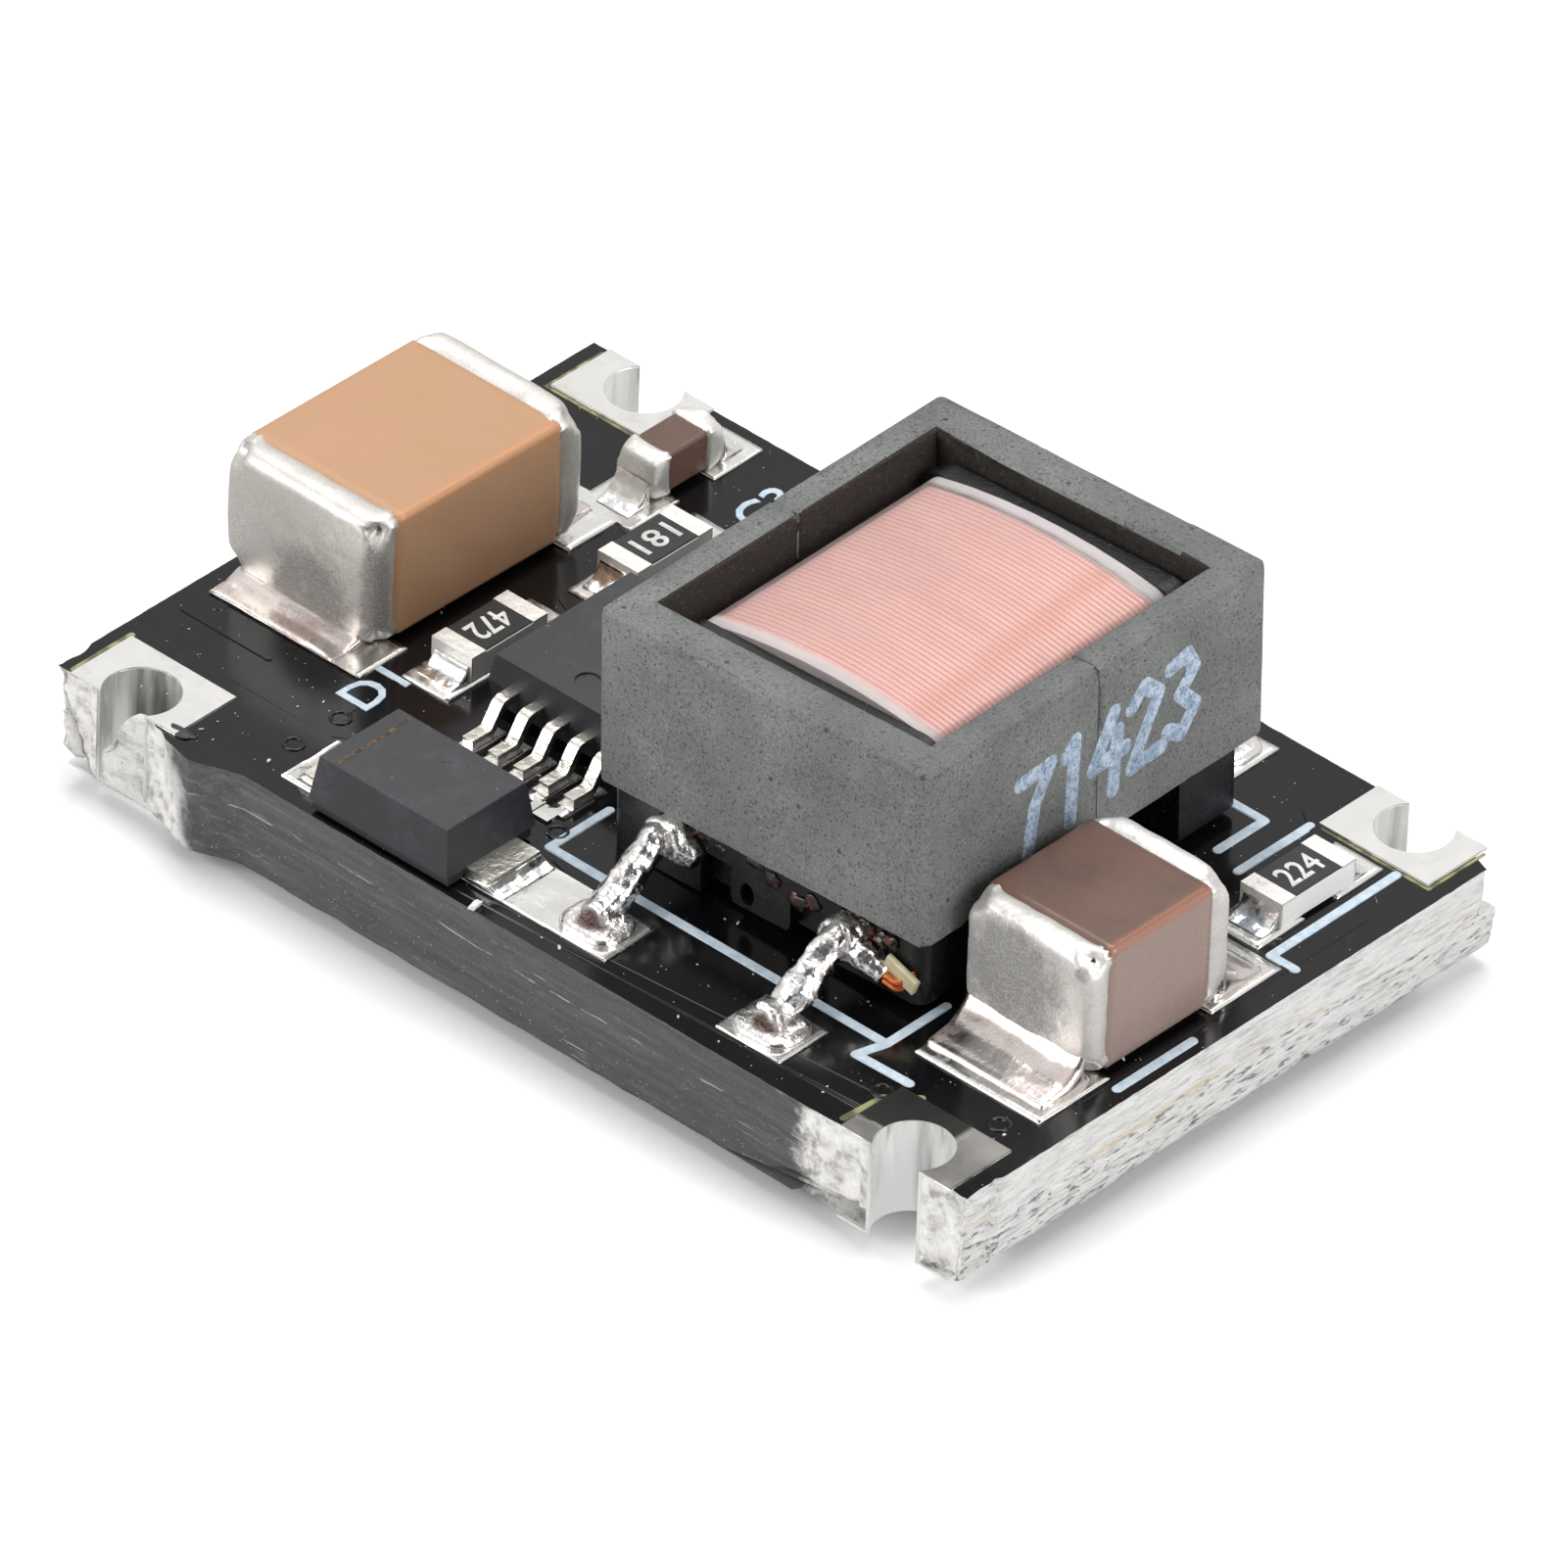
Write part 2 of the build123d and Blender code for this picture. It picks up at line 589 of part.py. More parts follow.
with BuildPart() as controller_body:
    with BuildSketch(top.offset(CHIP_SPLIT)):
        with Locations(CONTROLLER_SPOT):
            Rectangle(CHIP_BODY, CHIP_BODY)
    extrude(amount=CHIP_BODY_TOP - CHIP_SPLIT, taper=CHIP_DRAFT)
    with BuildSketch(top.offset(CHIP_SPLIT)):
        with Locations(CONTROLLER_SPOT):
            Rectangle(CHIP_BODY, CHIP_BODY)
    extrude(amount=-(CHIP_SPLIT - CHIP_BODY_GAP), taper=CHIP_DRAFT)
    with BuildSketch(top.offset(CHIP_BODY_TOP)):
        dimple_x = CONTROLLER_SPOT[0] + FIRST_LEAD_DIMPLE[0]
        dimple_y = CONTROLLER_SPOT[1] - CHIP_BODY / 2 + FIRST_LEAD_DIMPLE[1]
        with Locations((dimple_x, dimple_y)):
            Circle(DIMPLE_RADIUS)
    extrude(amount=-DIMPLE_DEPTH, mode=Mode.SUBTRACT)
    add(controller_leads.part, mode=Mode.SUBTRACT)
save("controller_body", controller_body.part)

with BuildPart() as controller_solder:
    with BuildSketch(pad_top):
        for end in (-1, 1):
            with Locations((CONTROLLER_SPOT[0], CONTROLLER_SPOT[1] + end * (LEAD_SPAN - LEAD_FOOT) / 2)):
                with GridLocations(LEAD_PITCH, 1, LEADS_PER_SIDE, 1):
                    Rectangle(LEAD_WIDTH + 0.08, LEAD_FOOT + 0.16)
    extrude(amount=JOINT_THICKNESS)
save("controller_solder", controller_solder.part)


# Transformer core: two equal halves laid flat, their legs meeting across the middle
def core_half(end):
    """end -1 is the front half, 1 the back half."""
    depth = CORE_LENGTH / 2
    with BuildPart() as half:
        with BuildSketch(seat):
            with Locations((0, end * depth / 2)):
                Rectangle(CORE_WIDTH, depth)
            with Locations((0, end * (depth - CORE_END_WALL) / 2)):
                Rectangle(CORE_WIDTH - 2 * CORE_SIDE_WALL, depth - CORE_END_WALL, mode=Mode.SUBTRACT)
        extrude(amount=CORE_HEIGHT)
        outer_end = seat.offset(CORE_HEIGHT / 2).origin + seat.y_dir * (end * depth)
        end_face = half.faces().sort_by(Axis(outer_end, seat.y_dir * end))[-1]
        fillet(end_face.edges().filter_by(upright), radius=CORE_CORNER)
        rim = half.faces().sort_by(upright)[-1].outer_wire().edges()
        mating = [edge for edge in rim if abs((edge @ 0.5 - seat.origin).dot(seat.y_dir)) < 0.01]
        chamfer([edge for edge in rim if edge not in mating], length=CORE_EDGE)
        with BuildSketch(seat.offset(coil_axis_height - CORE_LEG_HEIGHT / 2)):
            with Locations((0, end * (depth - CORE_END_WALL) / 2)):
                Rectangle(CORE_LEG_WIDTH, depth - CORE_END_WALL)
        extrude(amount=CORE_LEG_HEIGHT)
    return half.part


core_front_half = core_half(-1)
core_back_half = core_half(1)
save("core_front_half", core_front_half)
save("core_back_half", core_back_half)


def block_face(end):
    """Y of the outer face of a terminal block, end -1 is the front one and 1 the back one."""
    inset = BASE_FRONT_INSET if end < 0 else BASE_BACK_INSET
    return TRANSFORMER_SPOT[1] + end * (CORE_LENGTH / 2 - inset)


# Transformer pins: round wire out of the block, bent down and out to the pad
def pin_pair(end):
    face_y = block_face(end)
    foot_end = end * (half_width - PIN_FOOT_INSET)
    low_z = BOARD_THICKNESS + PAD_THICKNESS + JOINT_THICKNESS + PIN_DIAMETER / 2
    with BuildPart() as pins:
        for side in (-1, 1):
            pin_x = pin_centre_x + side * PIN_PITCH / 2
            with BuildLine():
                FilletPolyline(
                    (pin_x, face_y - end * PIN_HOLD, pin_z),
                    (pin_x, face_y + end * PIN_REACH, pin_z),
                    (pin_x, foot_end - end * PIN_FOOT, low_z),
                    (pin_x, foot_end, low_z),
                    radius=PIN_BEND,
                )
            with BuildSketch(Plane(origin=(pin_x, face_y - end * PIN_HOLD, pin_z), z_dir=(0, end, 0))):
                Circle(PIN_DIAMETER / 2)
            sweep()
    return pins.part


front_pins = pin_pair(-1)
back_pins = pin_pair(1)
save("front_pins", front_pins)
save("back_pins", back_pins)


# Wire ends: tinned copper wrapped round the root of each pin, in front with a tail towards the coil
def wire_wraps(end, pins, tails):
    face_y = block_face(end)
    with BuildPart() as wraps:
        for side in (-1, 1):
            pin_x = pin_centre_x + side * PIN_PITCH / 2
            collar = Plane(origin=(pin_x, face_y + end * WRAP_GAP, pin_z), z_dir=(0, end, 0))
            with BuildSketch(collar):
                Circle(PIN_DIAMETER / 2 + WRAP_THICKNESS)
            extrude(amount=WRAP_LENGTH)
        fillet(wraps.edges(), radius=WRAP_THICKNESS * 0.45)
        for side, reach in tails:
            root = Vector(pin_centre_x + side * PIN_PITCH / 2, face_y + end * (WRAP_GAP + WRAP_LENGTH / 2), pin_z)
            tip = root + Vector(reach, 0.02, -reach * TAIL_FALL)
            with BuildSketch(Plane(origin=root, z_dir=tip - root)):
                Circle(TAIL_ROOT_RADIUS)
            with BuildSketch(Plane(origin=tip, z_dir=tip - root)):
                Circle(TAIL_TIP_RADIUS)
            loft()
        add(pins, mode=Mode.SUBTRACT)
    return wraps.part


front_tails = ((-1, TAIL_REACH * 0.7), (1, TAIL_REACH))
front_wire_wraps = wire_wraps(-1, front_pins, front_tails)
back_wire_wraps = wire_wraps(1, back_pins, ())
save("front_wire_wraps", front_wire_wraps)
save("back_wire_wraps", back_wire_wraps)


# Solder on the pads of the pins: a low mound round each foot
def pin_mounds(end, pins):
    mound_size = [length - 2 * MOUND_INSET for length in PIN_PAD]
    with BuildPart() as mounds:
        with BuildSketch(pad_top):
            for side in (-1, 1):
                with Locations((pin_centre_x + side * PIN_PITCH / 2, pin_pad_y(end))):
                    RectangleRounded(*mound_size, MOUND_CORNER)
        extrude(amount=MOUND_HEIGHT)
        fillet(mounds.faces().group_by(Axis.Z)[-1].edges(), radius=MOUND_HEIGHT * 0.85)
        add(pins, mode=Mode.SUBTRACT)
    return mounds.part


front_pin_solder = pin_mounds(-1, front_pins)
back_pin_solder = pin_mounds(1, back_pins)
save("front_pin_solder", front_pin_solder)
save("back_pin_solder", back_pin_solder)

# Bobbin: tube round the centre leg, two flanges inside the window, a terminal block under each end wall
window_half_length = CORE_LENGTH / 2 - CORE_END_WALL
flange_outer = window_half_length - FLANGE_CLEARANCE
flange_inner = flange_outer - FLANGE_THICKNESS
flange_width = CORE_WIDTH - 2 * CORE_SIDE_WALL - 2 * FLANGE_CLEARANCE
flange_top = CORE_HEIGHT - FLANGE_DROP
tube_width = CORE_LEG_WIDTH + 2 * (LEG_CLEARANCE + TUBE_WALL)
tube_height = CORE_LEG_HEIGHT + 2 * (LEG_CLEARANCE + TUBE_WALL)
recess_width = PIN_PITCH - 2 * RECESS_MARGIN
with BuildPart() as bobbin:
    for end, inset in ((-1, BASE_FRONT_INSET), (1, BASE_BACK_INSET)):
        block_outer = CORE_LENGTH / 2 - inset
        block_middle = (0, end * (block_outer - BASE_BLOCK / 2))
        outer_view = front_view.offset(-end * block_outer)
        with BuildSketch(seat.offset(-BASE_HEIGHT)):
            with Locations(block_middle):
                Rectangle(base_width, BASE_BLOCK)
        extrude(amount=BASE_HEIGHT)
        outward = Axis(seat.origin, seat.y_dir * end)
        fillet(bobbin.edges().filter_by(upright).sort_by(outward)[-2:], radius=BASE_ROUND)
        # two recesses between the pins, under a ledge, with a boss left between them
        with BuildSketch(outer_view):
            with Locations((0, -(BASE_HEIGHT + LEDGE) / 2)):
                Rectangle(recess_width, BASE_HEIGHT - LEDGE)
            with Locations((BOSS_SHIFT, -LEDGE - BOSS_SIZE[1] / 2 + BOSS_LIFT)):
                RectangleRounded(*BOSS_SIZE, BOSS_ROUND, mode=Mode.SUBTRACT)
        extrude(amount=end * RECESS_DEPTH, mode=Mode.SUBTRACT)
        # draw hole of the mould in the boss
        with BuildSketch(outer_view):
            with Locations((BOSS_SHIFT + DRAW_HOLE_SHIFT[0], -LEDGE + DRAW_HOLE_SHIFT[1])):
                Ellipse(*DRAW_HOLE)
        extrude(amount=end * DRAW_HOLE_DEPTH, mode=Mode.SUBTRACT)
        # foot cut away under the middle so that only the ends stand on the board
        with BuildSketch(seat.offset(-BASE_HEIGHT)):
            with Locations(block_middle):
                Rectangle(recess_width, BASE_BLOCK)
        extrude(amount=FOOT_RELIEF, mode=Mode.SUBTRACT)
        with BuildSketch(front_view.offset(-end * flange_inner)):
            with Locations((0, flange_top / 2)):
                RectangleRounded(flange_width, flange_top, FLANGE_ROUND)
            with Locations((0, FLANGE_ROUND / 2)):
                Rectangle(flange_width, FLANGE_ROUND)
        extrude(amount=-end * FLANGE_THICKNESS)
    with BuildSketch(coil_plane):
        Rectangle(tube_width, tube_height)
    extrude(amount=flange_outer, both=True)
    with BuildSketch(coil_plane):
        Rectangle(CORE_LEG_WIDTH + 2 * LEG_CLEARANCE, CORE_LEG_HEIGHT + 2 * LEG_CLEARANCE)
    extrude(amount=flange_outer, both=True, mode=Mode.SUBTRACT)
    add(front_pins, mode=Mode.SUBTRACT)
    add(back_pins, mode=Mode.SUBTRACT)
save("bobbin", bobbin.part)


# Windings and tapes: closed rings one over the other round the tube, between the flanges
def coil_ring(width, height, half_length, inside):
    with BuildPart() as ring:
        with BuildSketch(coil_plane):
            with BuildLine():
                x = width / 2 - COIL_CROWN / 2
                y = height / 2 - COIL_CROWN
                ThreePointArc((-x, y), (0, height / 2), (x, y))
                ThreePointArc((x, y), (width / 2, 0), (x, -y))
                ThreePointArc((x, -y), (0, -height / 2), (-x, -y))
                ThreePointArc((-x, -y), (-width / 2, 0), (-x, y))
            make_face()
            fillet(vertices(), radius=COIL_CORNER)
        extrude(amount=half_length, both=True)
        with BuildSketch(coil_plane):
            Rectangle(tube_width, tube_height)
        extrude(amount=half_length, both=True, mode=Mode.SUBTRACT)
        for shape in inside:
            add(shape, mode=Mode.SUBTRACT)
    return ring.part


inner_width = tube_width + 2 * INNER_COIL
inner_height = tube_height + 2 * INNER_COIL + COIL_CROWN
outer_width = CORE_WIDTH - 2 * CORE_SIDE_WALL - 2 * COIL_SIDE_CLEARANCE
outer_height = 2 * (CORE_HEIGHT - COIL_DROP - coil_axis_height)
inner_winding = coil_ring(inner_width, inner_height, flange_inner, (bobbin.part,))
inner_tape = coil_ring(
    inner_width + 2 * COIL_TAPE,
    inner_height + 2 * COIL_TAPE,
    flange_inner,
    (bobbin.part, inner_winding),
)
outer_winding = coil_ring(
    outer_width - 2 * COIL_TAPE,
    outer_height - 2 * COIL_TAPE,
    flange_inner - COIL_MARGIN,
    (bobbin.part, inner_winding, inner_tape),
)
outer_tape = coil_ring(
    outer_width,
    outer_height,
    flange_inner,
    (bobbin.part, inner_winding, inner_tape, outer_winding),
)
save("inner_winding", inner_winding)
save("inner_tape", inner_tape)
save("outer_winding", outer_winding)
save("outer_tape", outer_tape)

# Bare copper strands from the front right tail, bent back into the block, and a sleeve beside them
tail_tip = Vector(
    pin_centre_x + PIN_PITCH / 2 + TAIL_REACH,
    block_face(-1) - WRAP_GAP - WRAP_LENGTH / 2 + 0.02,
    pin_z - TAIL_REACH * TAIL_FALL,
)
with BuildPart() as copper_strands:
    for lift in (-STRAND_SPREAD, STRAND_SPREAD):
        strand_start = tail_tip + Vector(0, 0, lift)
        strand_end = Vector(
            strand_start.X + STRAND_RETURN[0],
            block_face(-1) + STRAND_RETURN[1],
            strand_start.Z + STRAND_RETURN[2],
        )
        with BuildLine():
            FilletPolyline(strand_start, strand_start + Vector(*STRAND_RUN), strand_end, radius=STRAND_BEND)
        with BuildSketch(Plane(origin=strand_start, z_dir=STRAND_RUN)):
            Circle(WIRE_DIAMETER / 2)
        sweep()
    add(front_wire_wraps, mode=Mode.SUBTRACT)
    add(bobbin.part, mode=Mode.SUBTRACT)
save("copper_strands", copper_strands.part)

sleeve_start = Vector(
    pin_centre_x + PIN_PITCH / 2 + SLEEVE_START,
    block_face(-1) - SLEEVE_SECTION[1] / 2,
    pin_z - SLEEVE_DROP,
)
with BuildPart() as wire_sleeve:
    with BuildSketch(Plane(origin=sleeve_start, x_dir=(-SLEEVE_FALL, 0, 1), z_dir=(1, 0, SLEEVE_FALL))):
        SlotOverall(*SLEEVE_SECTION)
    extrude(amount=SLEEVE_LENGTH)
    add(bobbin.part, mode=Mode.SUBTRACT)
    add(copper_strands.part, mode=Mode.SUBTRACT)
    add(front_wire_wraps, mode=Mode.SUBTRACT)
save("wire_sleeve", wire_sleeve.part)

# Printed lines on the board: the place of the transformer, and marks beside two other parts
outline_left = TRANSFORMER_SPOT[0] - CORE_WIDTH / 2 - OUTLINE_MARGIN[0]
outline_right = TRANSFORMER_SPOT[0] + CORE_WIDTH / 2 - OUTLINE_INSET[0]
outline_front = TRANSFORMER_SPOT[1] - CORE_LENGTH / 2 - OUTLINE_MARGIN[1]
outline_back = TRANSFORMER_SPOT[1] + CORE_LENGTH / 2 - OUTLINE_INSET[1]
second_x, second_y = SECOND_CAP_SPOT
end_chip_x, end_chip_y = CHIP_SPOTS["end_chip_resistor"]
front_outline = [
    (outline_left, outline_front + OUTLINE_ARMS[0]),
    (outline_left, outline_front),
    (outline_right, outline_front),
    (outline_right, outline_front + OUTLINE_ARMS[0]),
]
back_outline = [
    (outline_left, outline_back - OUTLINE_ARMS[1]),
    (outline_left, outline_back),
    (outline_right + OUTLINE_STEP, outline_back),
    (outline_right + OUTLINE_STEP, outline_back - OUTLINE_ARMS[1]),
]
front_hook = [(outline_right, outline_front), (second_x - 1.67, -4.33), (second_x - 0.67, -4.3)]
second_cap_line = [(second_x + 1.5, second_y - 1.17), (second_x + 1.5, second_y + 0.43)]
end_chip_line = [(end_chip_x - 1.0, end_chip_y - 0.15), (end_chip_x - 1.0, end_chip_y + 1.4)]
end_chip_hook = [
    (end_chip_x + 1.14, end_chip_y - 1.32),
    (end_chip_x + 0.68, end_chip_y - 1.32),
    (end_chip_x + 0.66, end_chip_y + 1.4),
]
print_runs = [front_outline, back_outline, front_hook, second_cap_line, end_chip_line, end_chip_hook]
with BuildPart() as printed_lines:
    for run in print_runs:
        with BuildSketch(top):
            with BuildLine():
                Polyline(*run)
            trace(line_width=PRINT_WIDTH)
        extrude(amount=PRINT_THICKNESS)
    add(tinned_pads.part, mode=Mode.SUBTRACT)
    add(bobbin.part, mode=Mode.SUBTRACT)
save("printed_lines", printed_lines.part)
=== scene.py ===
# %% [markdown]
# High voltage boost converter module
#
# A black circuit board, 18 mm long, carries a ferrite transformer, two large ceramic capacitors, a diode, a small
# controller chip and a few chip parts. The frame gives every solid at its real size. This script gives each one its
# finish, and rebuilds those whose small shapes show in a close-up: torn edges, turns of wire, solder, fired caps.

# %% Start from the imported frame
import math
import random

import bmesh
import bpy
from mathutils import Matrix, Vector, noise


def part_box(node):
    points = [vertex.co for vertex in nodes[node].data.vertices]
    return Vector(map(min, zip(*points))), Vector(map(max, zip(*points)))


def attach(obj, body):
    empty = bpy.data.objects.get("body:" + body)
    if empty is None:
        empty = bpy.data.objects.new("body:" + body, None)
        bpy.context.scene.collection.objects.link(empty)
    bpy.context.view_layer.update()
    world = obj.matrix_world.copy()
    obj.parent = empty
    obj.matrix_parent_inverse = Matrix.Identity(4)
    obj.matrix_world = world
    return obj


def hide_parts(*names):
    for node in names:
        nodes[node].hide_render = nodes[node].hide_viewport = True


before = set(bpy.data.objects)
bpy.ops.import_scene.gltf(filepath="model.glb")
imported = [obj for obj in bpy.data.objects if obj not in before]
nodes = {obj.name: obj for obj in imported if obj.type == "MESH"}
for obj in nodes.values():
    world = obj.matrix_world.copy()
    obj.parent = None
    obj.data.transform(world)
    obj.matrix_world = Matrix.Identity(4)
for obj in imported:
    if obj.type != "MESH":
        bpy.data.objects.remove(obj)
scene = bpy.context.scene
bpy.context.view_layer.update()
MM = 0.001
print("frame nodes:", len(nodes))


def linked(name, data):
    """An object in the scene that holds some data."""
    made = bpy.data.objects.new(name, data)
    scene.collection.objects.link(made)
    return made


# %% [markdown]
# The camera
#
# A close-up lens is long and stands well back, so the board's far edges hardly shrink. The camera's place and its
# angle of view were worked out from the corners of the board and of the transformer; it rolls by two degrees. A
# camera looks along its own -Z, so its axes are built one by one from the viewing direction.

# %% Camera at the photograph's angle
CAMERA_PLACE = Vector((191.467, -217.204, 216.037)) * MM
CAMERA_TARGET = Vector((0.444, -0.319, 1.6)) * MM
CAMERA_ROLL = math.radians(2.34)
FIELD_OF_VIEW = math.radians(3.602)

forward = (CAMERA_TARGET - CAMERA_PLACE).normalized()
level_right = forward.cross(Vector((0, 0, 1))).normalized()
level_up = level_right.cross(forward)
right = math.cos(CAMERA_ROLL) * level_right + math.sin(CAMERA_ROLL) * level_up
up = -math.sin(CAMERA_ROLL) * level_right + math.cos(CAMERA_ROLL) * level_up
lens = bpy.data.cameras.new("close_up_lens")
lens.angle = FIELD_OF_VIEW
camera = linked("close_up_camera", lens)
camera.matrix_world = Matrix.Translation(CAMERA_PLACE) @ Matrix((right, up, -forward)).transposed().to_4x4()
scene.camera = camera
print("camera distance, mm:", round((CAMERA_TARGET - CAMERA_PLACE).length / MM, 1))

# %% [markdown]
# Shader maths
#
# A finish is mostly arithmetic on a few noise patterns, and hard to read when written with nodes alone. So a small
# class wraps an output socket: adding or multiplying two wrapped sockets adds the Math node for it.

# %% A wrapped socket and a finish with its nodes
def add_node(tree, kind, settings, inputs, output=0):
    """One shader node, with its settings and a value or a link for each input. Gives back one of its outputs."""
    made = tree.nodes.new(kind)
    for key, value in settings.items():
        setattr(made, key, value)
    for key, value in inputs.items():
        if isinstance(value, bpy.types.NodeSocket):
            tree.links.new(value, made.inputs[key])
        else:
            made.inputs[key].default_value = value
    return made.outputs[output]


def maths(operation, clamp=False):
    """A method that sends its value, and any other operand, through a Math node."""
    def method(value, *others):
        settings = {"operation": operation, "use_clamp": clamp}
        return value.finish.node("ShaderNodeMath", settings, dict(enumerate((value, *others))))
    return method


class Value:
    """An output socket that takes part in sums and products."""

    def __init__(self, finish, socket):
        self.finish, self.socket = finish, socket

    __add__ = __radd__ = maths("ADD")
    __sub__ = maths("SUBTRACT")
    __mul__ = __rmul__ = maths("MULTIPLY")
    larger = maths("MAXIMUM")
    size = maths("ABSOLUTE")
    fraction = maths("FRACT")

    def __rsub__(self, other):
        return self.finish.node("ShaderNodeMath", {"operation": "SUBTRACT"}, {0: other, 1: self})

    def clamped(self):
        return maths("ADD", clamp=True)(self, 0.0)

    def step(self, low, high):
        """0 on the low side, 1 on the high side, and a smooth rise between them."""
        inputs = {"Value": self, "From Min": low, "From Max": high}
        return self.finish.node("ShaderNodeMapRange", {"interpolation_type": "SMOOTHSTEP"}, inputs)


class Finish:
    """A material under construction: its Principled shader, and short calls for the patterns used here."""

    def __init__(self, name, **constants):
        self.material = bpy.data.materials.new(name)
        self.material.use_nodes = True
        self.tree = self.material.node_tree
        self.set(**constants)
        self.place = self.node("ShaderNodeTexCoord", {}, {}, "Object")

    def node(self, kind, settings, inputs, output=0):
        sockets = {key: getattr(value, "socket", value) for key, value in inputs.items()}
        return Value(self, add_node(self.tree, kind, settings, sockets, output))

    def set(self, **values):
        """Gives inputs of the Principled shader a constant or a pattern, by their names in small letters."""
        for name, value in values.items():
            socket = self.tree.nodes["Principled BSDF"].inputs[name.replace("_", " ").title().replace("Ior", "IOR")]
            if isinstance(value, Value):
                self.tree.links.new(value.socket, socket)
            else:
                socket.default_value = value

    def placed(self, move=(0, 0, 0), turn=(0, 0, 0), stretch=(1, 1, 1)):
        """The place on the object, after a move, a turn and a stretch."""
        inputs = {"Vector": self.place, "Location": move, "Rotation": turn, "Scale": stretch}
        return self.node("ShaderNodeMapping", {"vector_type": "POINT"}, inputs)

    def axis(self, letter):
        """One coordinate of the surface, in millimetres."""
        return self.node("ShaderNodeSeparateXYZ", {}, {0: self.place}, "XYZ".index(letter)) * (1 / MM)

    def cloud(self, grain_mm, detail=3.0, rough=0.5, warp=0.0, **placing):
        """Soft noise with patches of about grain_mm, from 0 to 1; placing is what placed takes."""
        inputs = {"Vector": self.placed(**placing) if placing else self.place, "Scale": 1 / (grain_mm * MM),
                  "Detail": detail, "Roughness": rough, "Distortion": warp}
        return self.node("ShaderNodeTexNoise", {}, inputs, "Fac")

    def wobble(self, amount_mm, *cloud):
        """Noise on both sides of nought, to make a border wander."""
        return (self.cloud(*cloud) - 0.5) * amount_mm

    def cells(self, grain_mm):
        """The distance to the nearest of many points, about grain_mm apart; 1 is one grain."""
        inputs = {"Vector": self.place, "Scale": 1 / (grain_mm * MM)}
        return self.node("ShaderNodeTexVoronoi", {"feature": "F1"}, inputs, "Distance")

    def specks(self, grain_mm, share):
        """Sparse round specks of about grain_mm, 1 inside a speck."""
        patchy = self.cloud(grain_mm * 9, 1.0)
        return self.cells(grain_mm * 3).step(0.16, 0.1) * patchy.step(1 - share, 1 - share + 0.05)

    def near(self, place_mm, reach_mm, stretch=(1, 1, 1)):
        """1 close to a place on the object, and 0 beyond reach_mm; a stretch under 1 makes the patch longer."""
        inputs = {0: self.placed(stretch=stretch), 1: Vector(c * s for c, s in zip(place_mm, stretch)) * MM}
        gap = self.node("ShaderNodeVectorMath", {"operation": "DISTANCE"}, inputs, "Value") * (1 / MM)
        return gap.step(reach_mm, reach_mm * 0.25)

    def blend(self, mask, first, second):
        """From one tone to another. A tone is a pattern, a linear colour, or red, green and blue as rgb takes them."""
        first, second = (rgb(*tone) if isinstance(tone, tuple) and len(tone) == 3 else tone for tone in (first, second))
        return self.node("ShaderNodeMix", {"data_type": "RGBA"}, {0: mask, 6: first, 7: second}, 2)

    def layered(self, tone, *layers):
        """Tones laid one over the other, each as far as its mask says."""
        for mask, over in layers:
            tone = self.blend(mask, tone, over)
        return tone

    def ramp(self, value, *stops):
        """Colours along a value. Each stop is its place, then red, green and blue as rgb takes them."""
        ramp = self.node("ShaderNodeValToRGB", {}, {0: value}, "Color")
        elements = ramp.socket.node.color_ramp.elements
        while len(elements) < len(stops):
            elements.new(0.5)
        for element, (spot, *tone) in zip(elements, stops):
            element.position, element.color = spot, rgb(*tone)
        return ramp

    def bump(self, height, depth_mm):
        self.set(normal=self.node("ShaderNodeBump", {}, {"Height": height, "Distance": depth_mm * MM, "Strength": 1.0}))


def rgb(red, green, blue):
    """A colour on the 0 to 255 screen scale, as the linear value that a shader takes."""
    return tuple(((c / 255 + 0.055) / 1.055) ** 2.4 if c > 10 else c / 255 / 12.92 for c in (red, green, blue)) + (1.0,)


def dress(finish, *names):
    """Puts a finish on whole CAD nodes."""
    for name in names:
        nodes[name].data.materials.clear()
        nodes[name].data.materials.append(finish.material)


# %% [markdown]
# The studio
#
# The photograph was taken in a light tent: everything round the object is white, and the shadow under the board is
# soft. A large white floor carries it. Light Path sets what the camera and reflections see of the tent apart from
# the light that falls on the object, so the white background doesn't wash it out.

# %% Floor, tent and lamps
def split_for_mirrors(tree, plain, mirrored):
    """One look for rays that were reflected or refracted, and another for all other rays."""
    rays = tree.nodes.new("ShaderNodeLightPath").outputs
    either = {0: rays["Is Glossy Ray"], 1: rays["Is Transmission Ray"]}
    bounced = add_node(tree, "ShaderNodeMath", {"operation": "MAXIMUM"}, either)
    return add_node(tree, "ShaderNodeMixShader", {}, {0: bounced, 1: plain, 2: mirrored}), rays["Is Camera Ray"]


WHITE = (1, 1, 1, 1)
FLOOR_REACH = 0.6
FLOOR_GAP = 0.32    # the board stands on solder tips under it, so a thin dark gap shows at its lower edge
floor_mesh = bpy.data.meshes.new("tent_floor")
shape = bmesh.new()
bmesh.ops.create_grid(shape, x_segments=1, y_segments=1, size=FLOOR_REACH)
shape.to_mesh(floor_mesh)
shape.free()
floor = linked("tent_floor", floor_mesh)
floor.location.z = -FLOOR_GAP * MM
paper = Finish("white_tent_floor", base_color=(0.95, 0.95, 0.95, 1), roughness=0.9)
floor_mesh.materials.append(paper.material)
glow = add_node(paper.tree, "ShaderNodeEmission", {}, {"Color": WHITE, "Strength": 0.62})
floor_look, _ = split_for_mirrors(paper.tree, paper.tree.nodes["Principled BSDF"].outputs[0], glow)
paper.tree.links.new(floor_look, paper.tree.nodes["Material Output"].inputs["Surface"])

